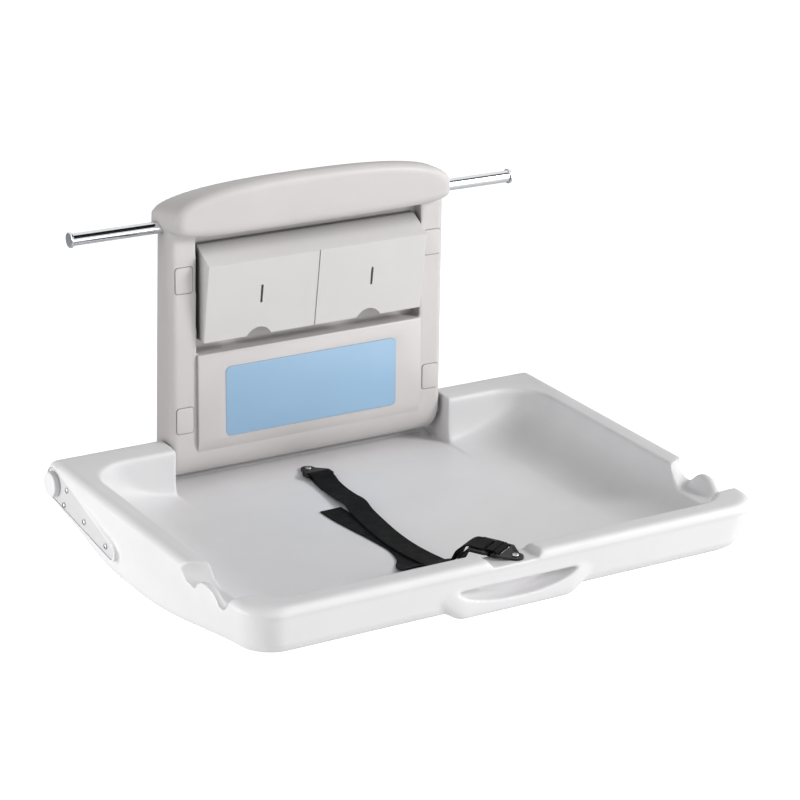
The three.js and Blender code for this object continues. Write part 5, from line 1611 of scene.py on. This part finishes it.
@dataclass
class Studio:
    """Plain pale floor, soft lamps, a white surround and the camera at the photograph's angle."""

    floor_level: float = -930.0
    floor_radius: float = 40000.0
    floor_thick: float = 20.0
    floor_glow: float = 0.8     # light of the floor that only the camera sees
    ambient: float = 0.19       # light that the surround gives
    focal: float = 2924.47      # in pixels
    azimuth: float = -32.60
    elevation: float = 20.74
    roll: float = -2.07
    position: Point = (-2188.11, -3735.71, 1529.64)
    card_level: float = 2300.0
    card_thick: float = 5.0
    card: tuple[Flat, ...] = (
        (250.0, 90.0), (350.0, -1000.0), (700.0, -2100.0), (1450.0, -3600.0), (2450.0, -3600.0),
        (1720.0, -2100.0), (1350.0, -1000.0), (2400.0, -1000.0), (2400.0, -80.0), (1240.0, -80.0),
        (1200.0, 90.0))

    def camera(self) -> None:
        """Sets the camera where the photograph was taken from."""
        turn, lift, roll = (math.radians(v) for v in (self.azimuth, self.elevation, self.roll))
        back = Vector((math.sin(turn) * math.cos(lift), -math.cos(turn) * math.cos(lift), math.sin(lift)))
        right = Vector((math.cos(turn), math.sin(turn), 0))
        up = back.cross(right)
        level_x = math.cos(roll) * right - math.sin(roll) * up
        level_y = math.sin(roll) * right + math.cos(roll) * up
        data = bpy.data.cameras.new("camera")
        data.sensor_width = SENSOR
        data.lens = self.focal / FRAME_PIXELS * SENSOR
        data.clip_end = 100.0
        camera = bpy.data.objects.new("camera", data)
        place = Matrix((level_x, level_y, back)).transposed().to_4x4()
        place.translation = Vector(self.position) * MM
        camera.matrix_world = place
        bpy.context.scene.collection.objects.link(camera)
        bpy.context.scene.camera = camera

    def surround(self) -> None:
        """White world for camera, mirror and glass rays, softer for the light that it gives."""
        world = bpy.data.worlds.new("surround")
        world.use_nodes = True
        bpy.context.scene.world = world
        tree = world.node_tree
        background = tree.nodes["Background"]
        background.inputs["Color"].default_value = (1.0, 1.0, 1.0, 1.0)
        rays = tree.nodes.new("ShaderNodeLightPath")
        white = tree.nodes.new("ShaderNodeMath")
        white.operation = "MAXIMUM"
        clear = tree.nodes.new("ShaderNodeMath")
        clear.operation = "MAXIMUM"
        tree.links.new(rays.outputs["Is Camera Ray"], white.inputs[0])
        tree.links.new(rays.outputs["Is Glossy Ray"], white.inputs[1])
        tree.links.new(white.outputs["Value"], clear.inputs[0])
        tree.links.new(rays.outputs["Is Transmission Ray"], clear.inputs[1])
        strength = tree.nodes.new("ShaderNodeMapRange")
        strength.inputs["To Min"].default_value = self.ambient
        strength.inputs["To Max"].default_value = 1.0
        tree.links.new(clear.outputs["Value"], strength.inputs["Value"])
        tree.links.new(strength.outputs["Result"], background.inputs["Strength"])

    def floor(self) -> None:
        """Large pale floor that keeps a faint shadow."""
        steps = 64
        turns = [math.tau * i / steps for i in range(steps)]
        outline = [(self.floor_radius * math.cos(turn), self.floor_radius * math.sin(turn)) for turn in turns]
        under = self.floor_level - self.floor_thick
        floor = Workpiece.slab("floor", outline, Axis.UP, under, self.floor_level).object
        material = bpy.data.materials.new("pale_floor")
        material.use_nodes = True
        tree = material.node_tree
        shader = tree.nodes["Principled BSDF"]
        shader.inputs["Base Color"].default_value = (0.82, 0.82, 0.82, 1.0)
        shader.inputs["Roughness"].default_value = 0.9
        shader.inputs["Specular IOR Level"].default_value = 0.1
        shader.inputs["Emission Color"].default_value = (1.0, 1.0, 1.0, 1.0)
        rays = tree.nodes.new("ShaderNodeLightPath")
        seen = tree.nodes.new("ShaderNodeMath")
        seen.operation = "MULTIPLY"
        seen.inputs[1].default_value = self.floor_glow
        tree.links.new(rays.outputs["Is Camera Ray"], seen.inputs[0])
        tree.links.new(seen.outputs["Value"], shader.inputs["Emission Strength"])
        floor.data.materials.append(material)

    def mirror_card(self) -> None:
        """Black card overhead that only mirrored rays meet, for the dark band in the chrome."""
        top = self.card_level + self.card_thick
        card = Workpiece.slab("mirror_card", self.card, Axis.UP, self.card_level, top).object
        for ray in ("camera", "diffuse", "transmission", "volume_scatter", "shadow"):
            setattr(card, f"visible_{ray}", False)
        material = bpy.data.materials.new("mirror_card")
        material.use_nodes = True
        shader = material.node_tree.nodes["Principled BSDF"]
        shader.inputs["Base Color"].default_value = (0.004, 0.004, 0.004, 1.0)
        shader.inputs["Roughness"].default_value = 1.0
        card.data.materials.append(material)

    def build(self) -> None:
        """Sets the camera, the surround, the floor, the lamps and the mirror card."""
        bpy.context.scene.view_settings.view_transform = "Standard"
        self.camera()
        self.surround()
        self.floor()
        for lamp in LAMPS:
            lamp.hang()
        self.mirror_card()

    def reserve(self, body: Body) -> None:
        """Keeps the low side lamp for one body, so that the bed's side is lit and the panel's isn't.

        Args:
            body: Body whose pieces the lamp lights.
        """
        group = bpy.data.collections.new(f"{SIDE_LAMP.name}_pieces")
        for piece in frame["bodies"][body.value].children_recursive:
            group.objects.link(piece)
        bpy.data.objects[SIDE_LAMP.name].light_linking.receiver_collection = group


def main() -> None:
    """Builds the studio and every sub-assembly in order, and keeps the low side lamp for the bed."""
    logging.basicConfig(level=logging.INFO, format="%(message)s")
    studio = Studio()
    studio.build()
    bed, arms = MouldedBed(), HingeArms()
    bed.dress(bed.build(arms))
    arms.dress()
    BackPanel().dress()
    HangingRod().dress()
    SafetyStrap().dress()
    DispenserCover().dress()
    Fittings().dress()
    studio.reserve(Body.BED)


if __name__ == "__main__":
    main()
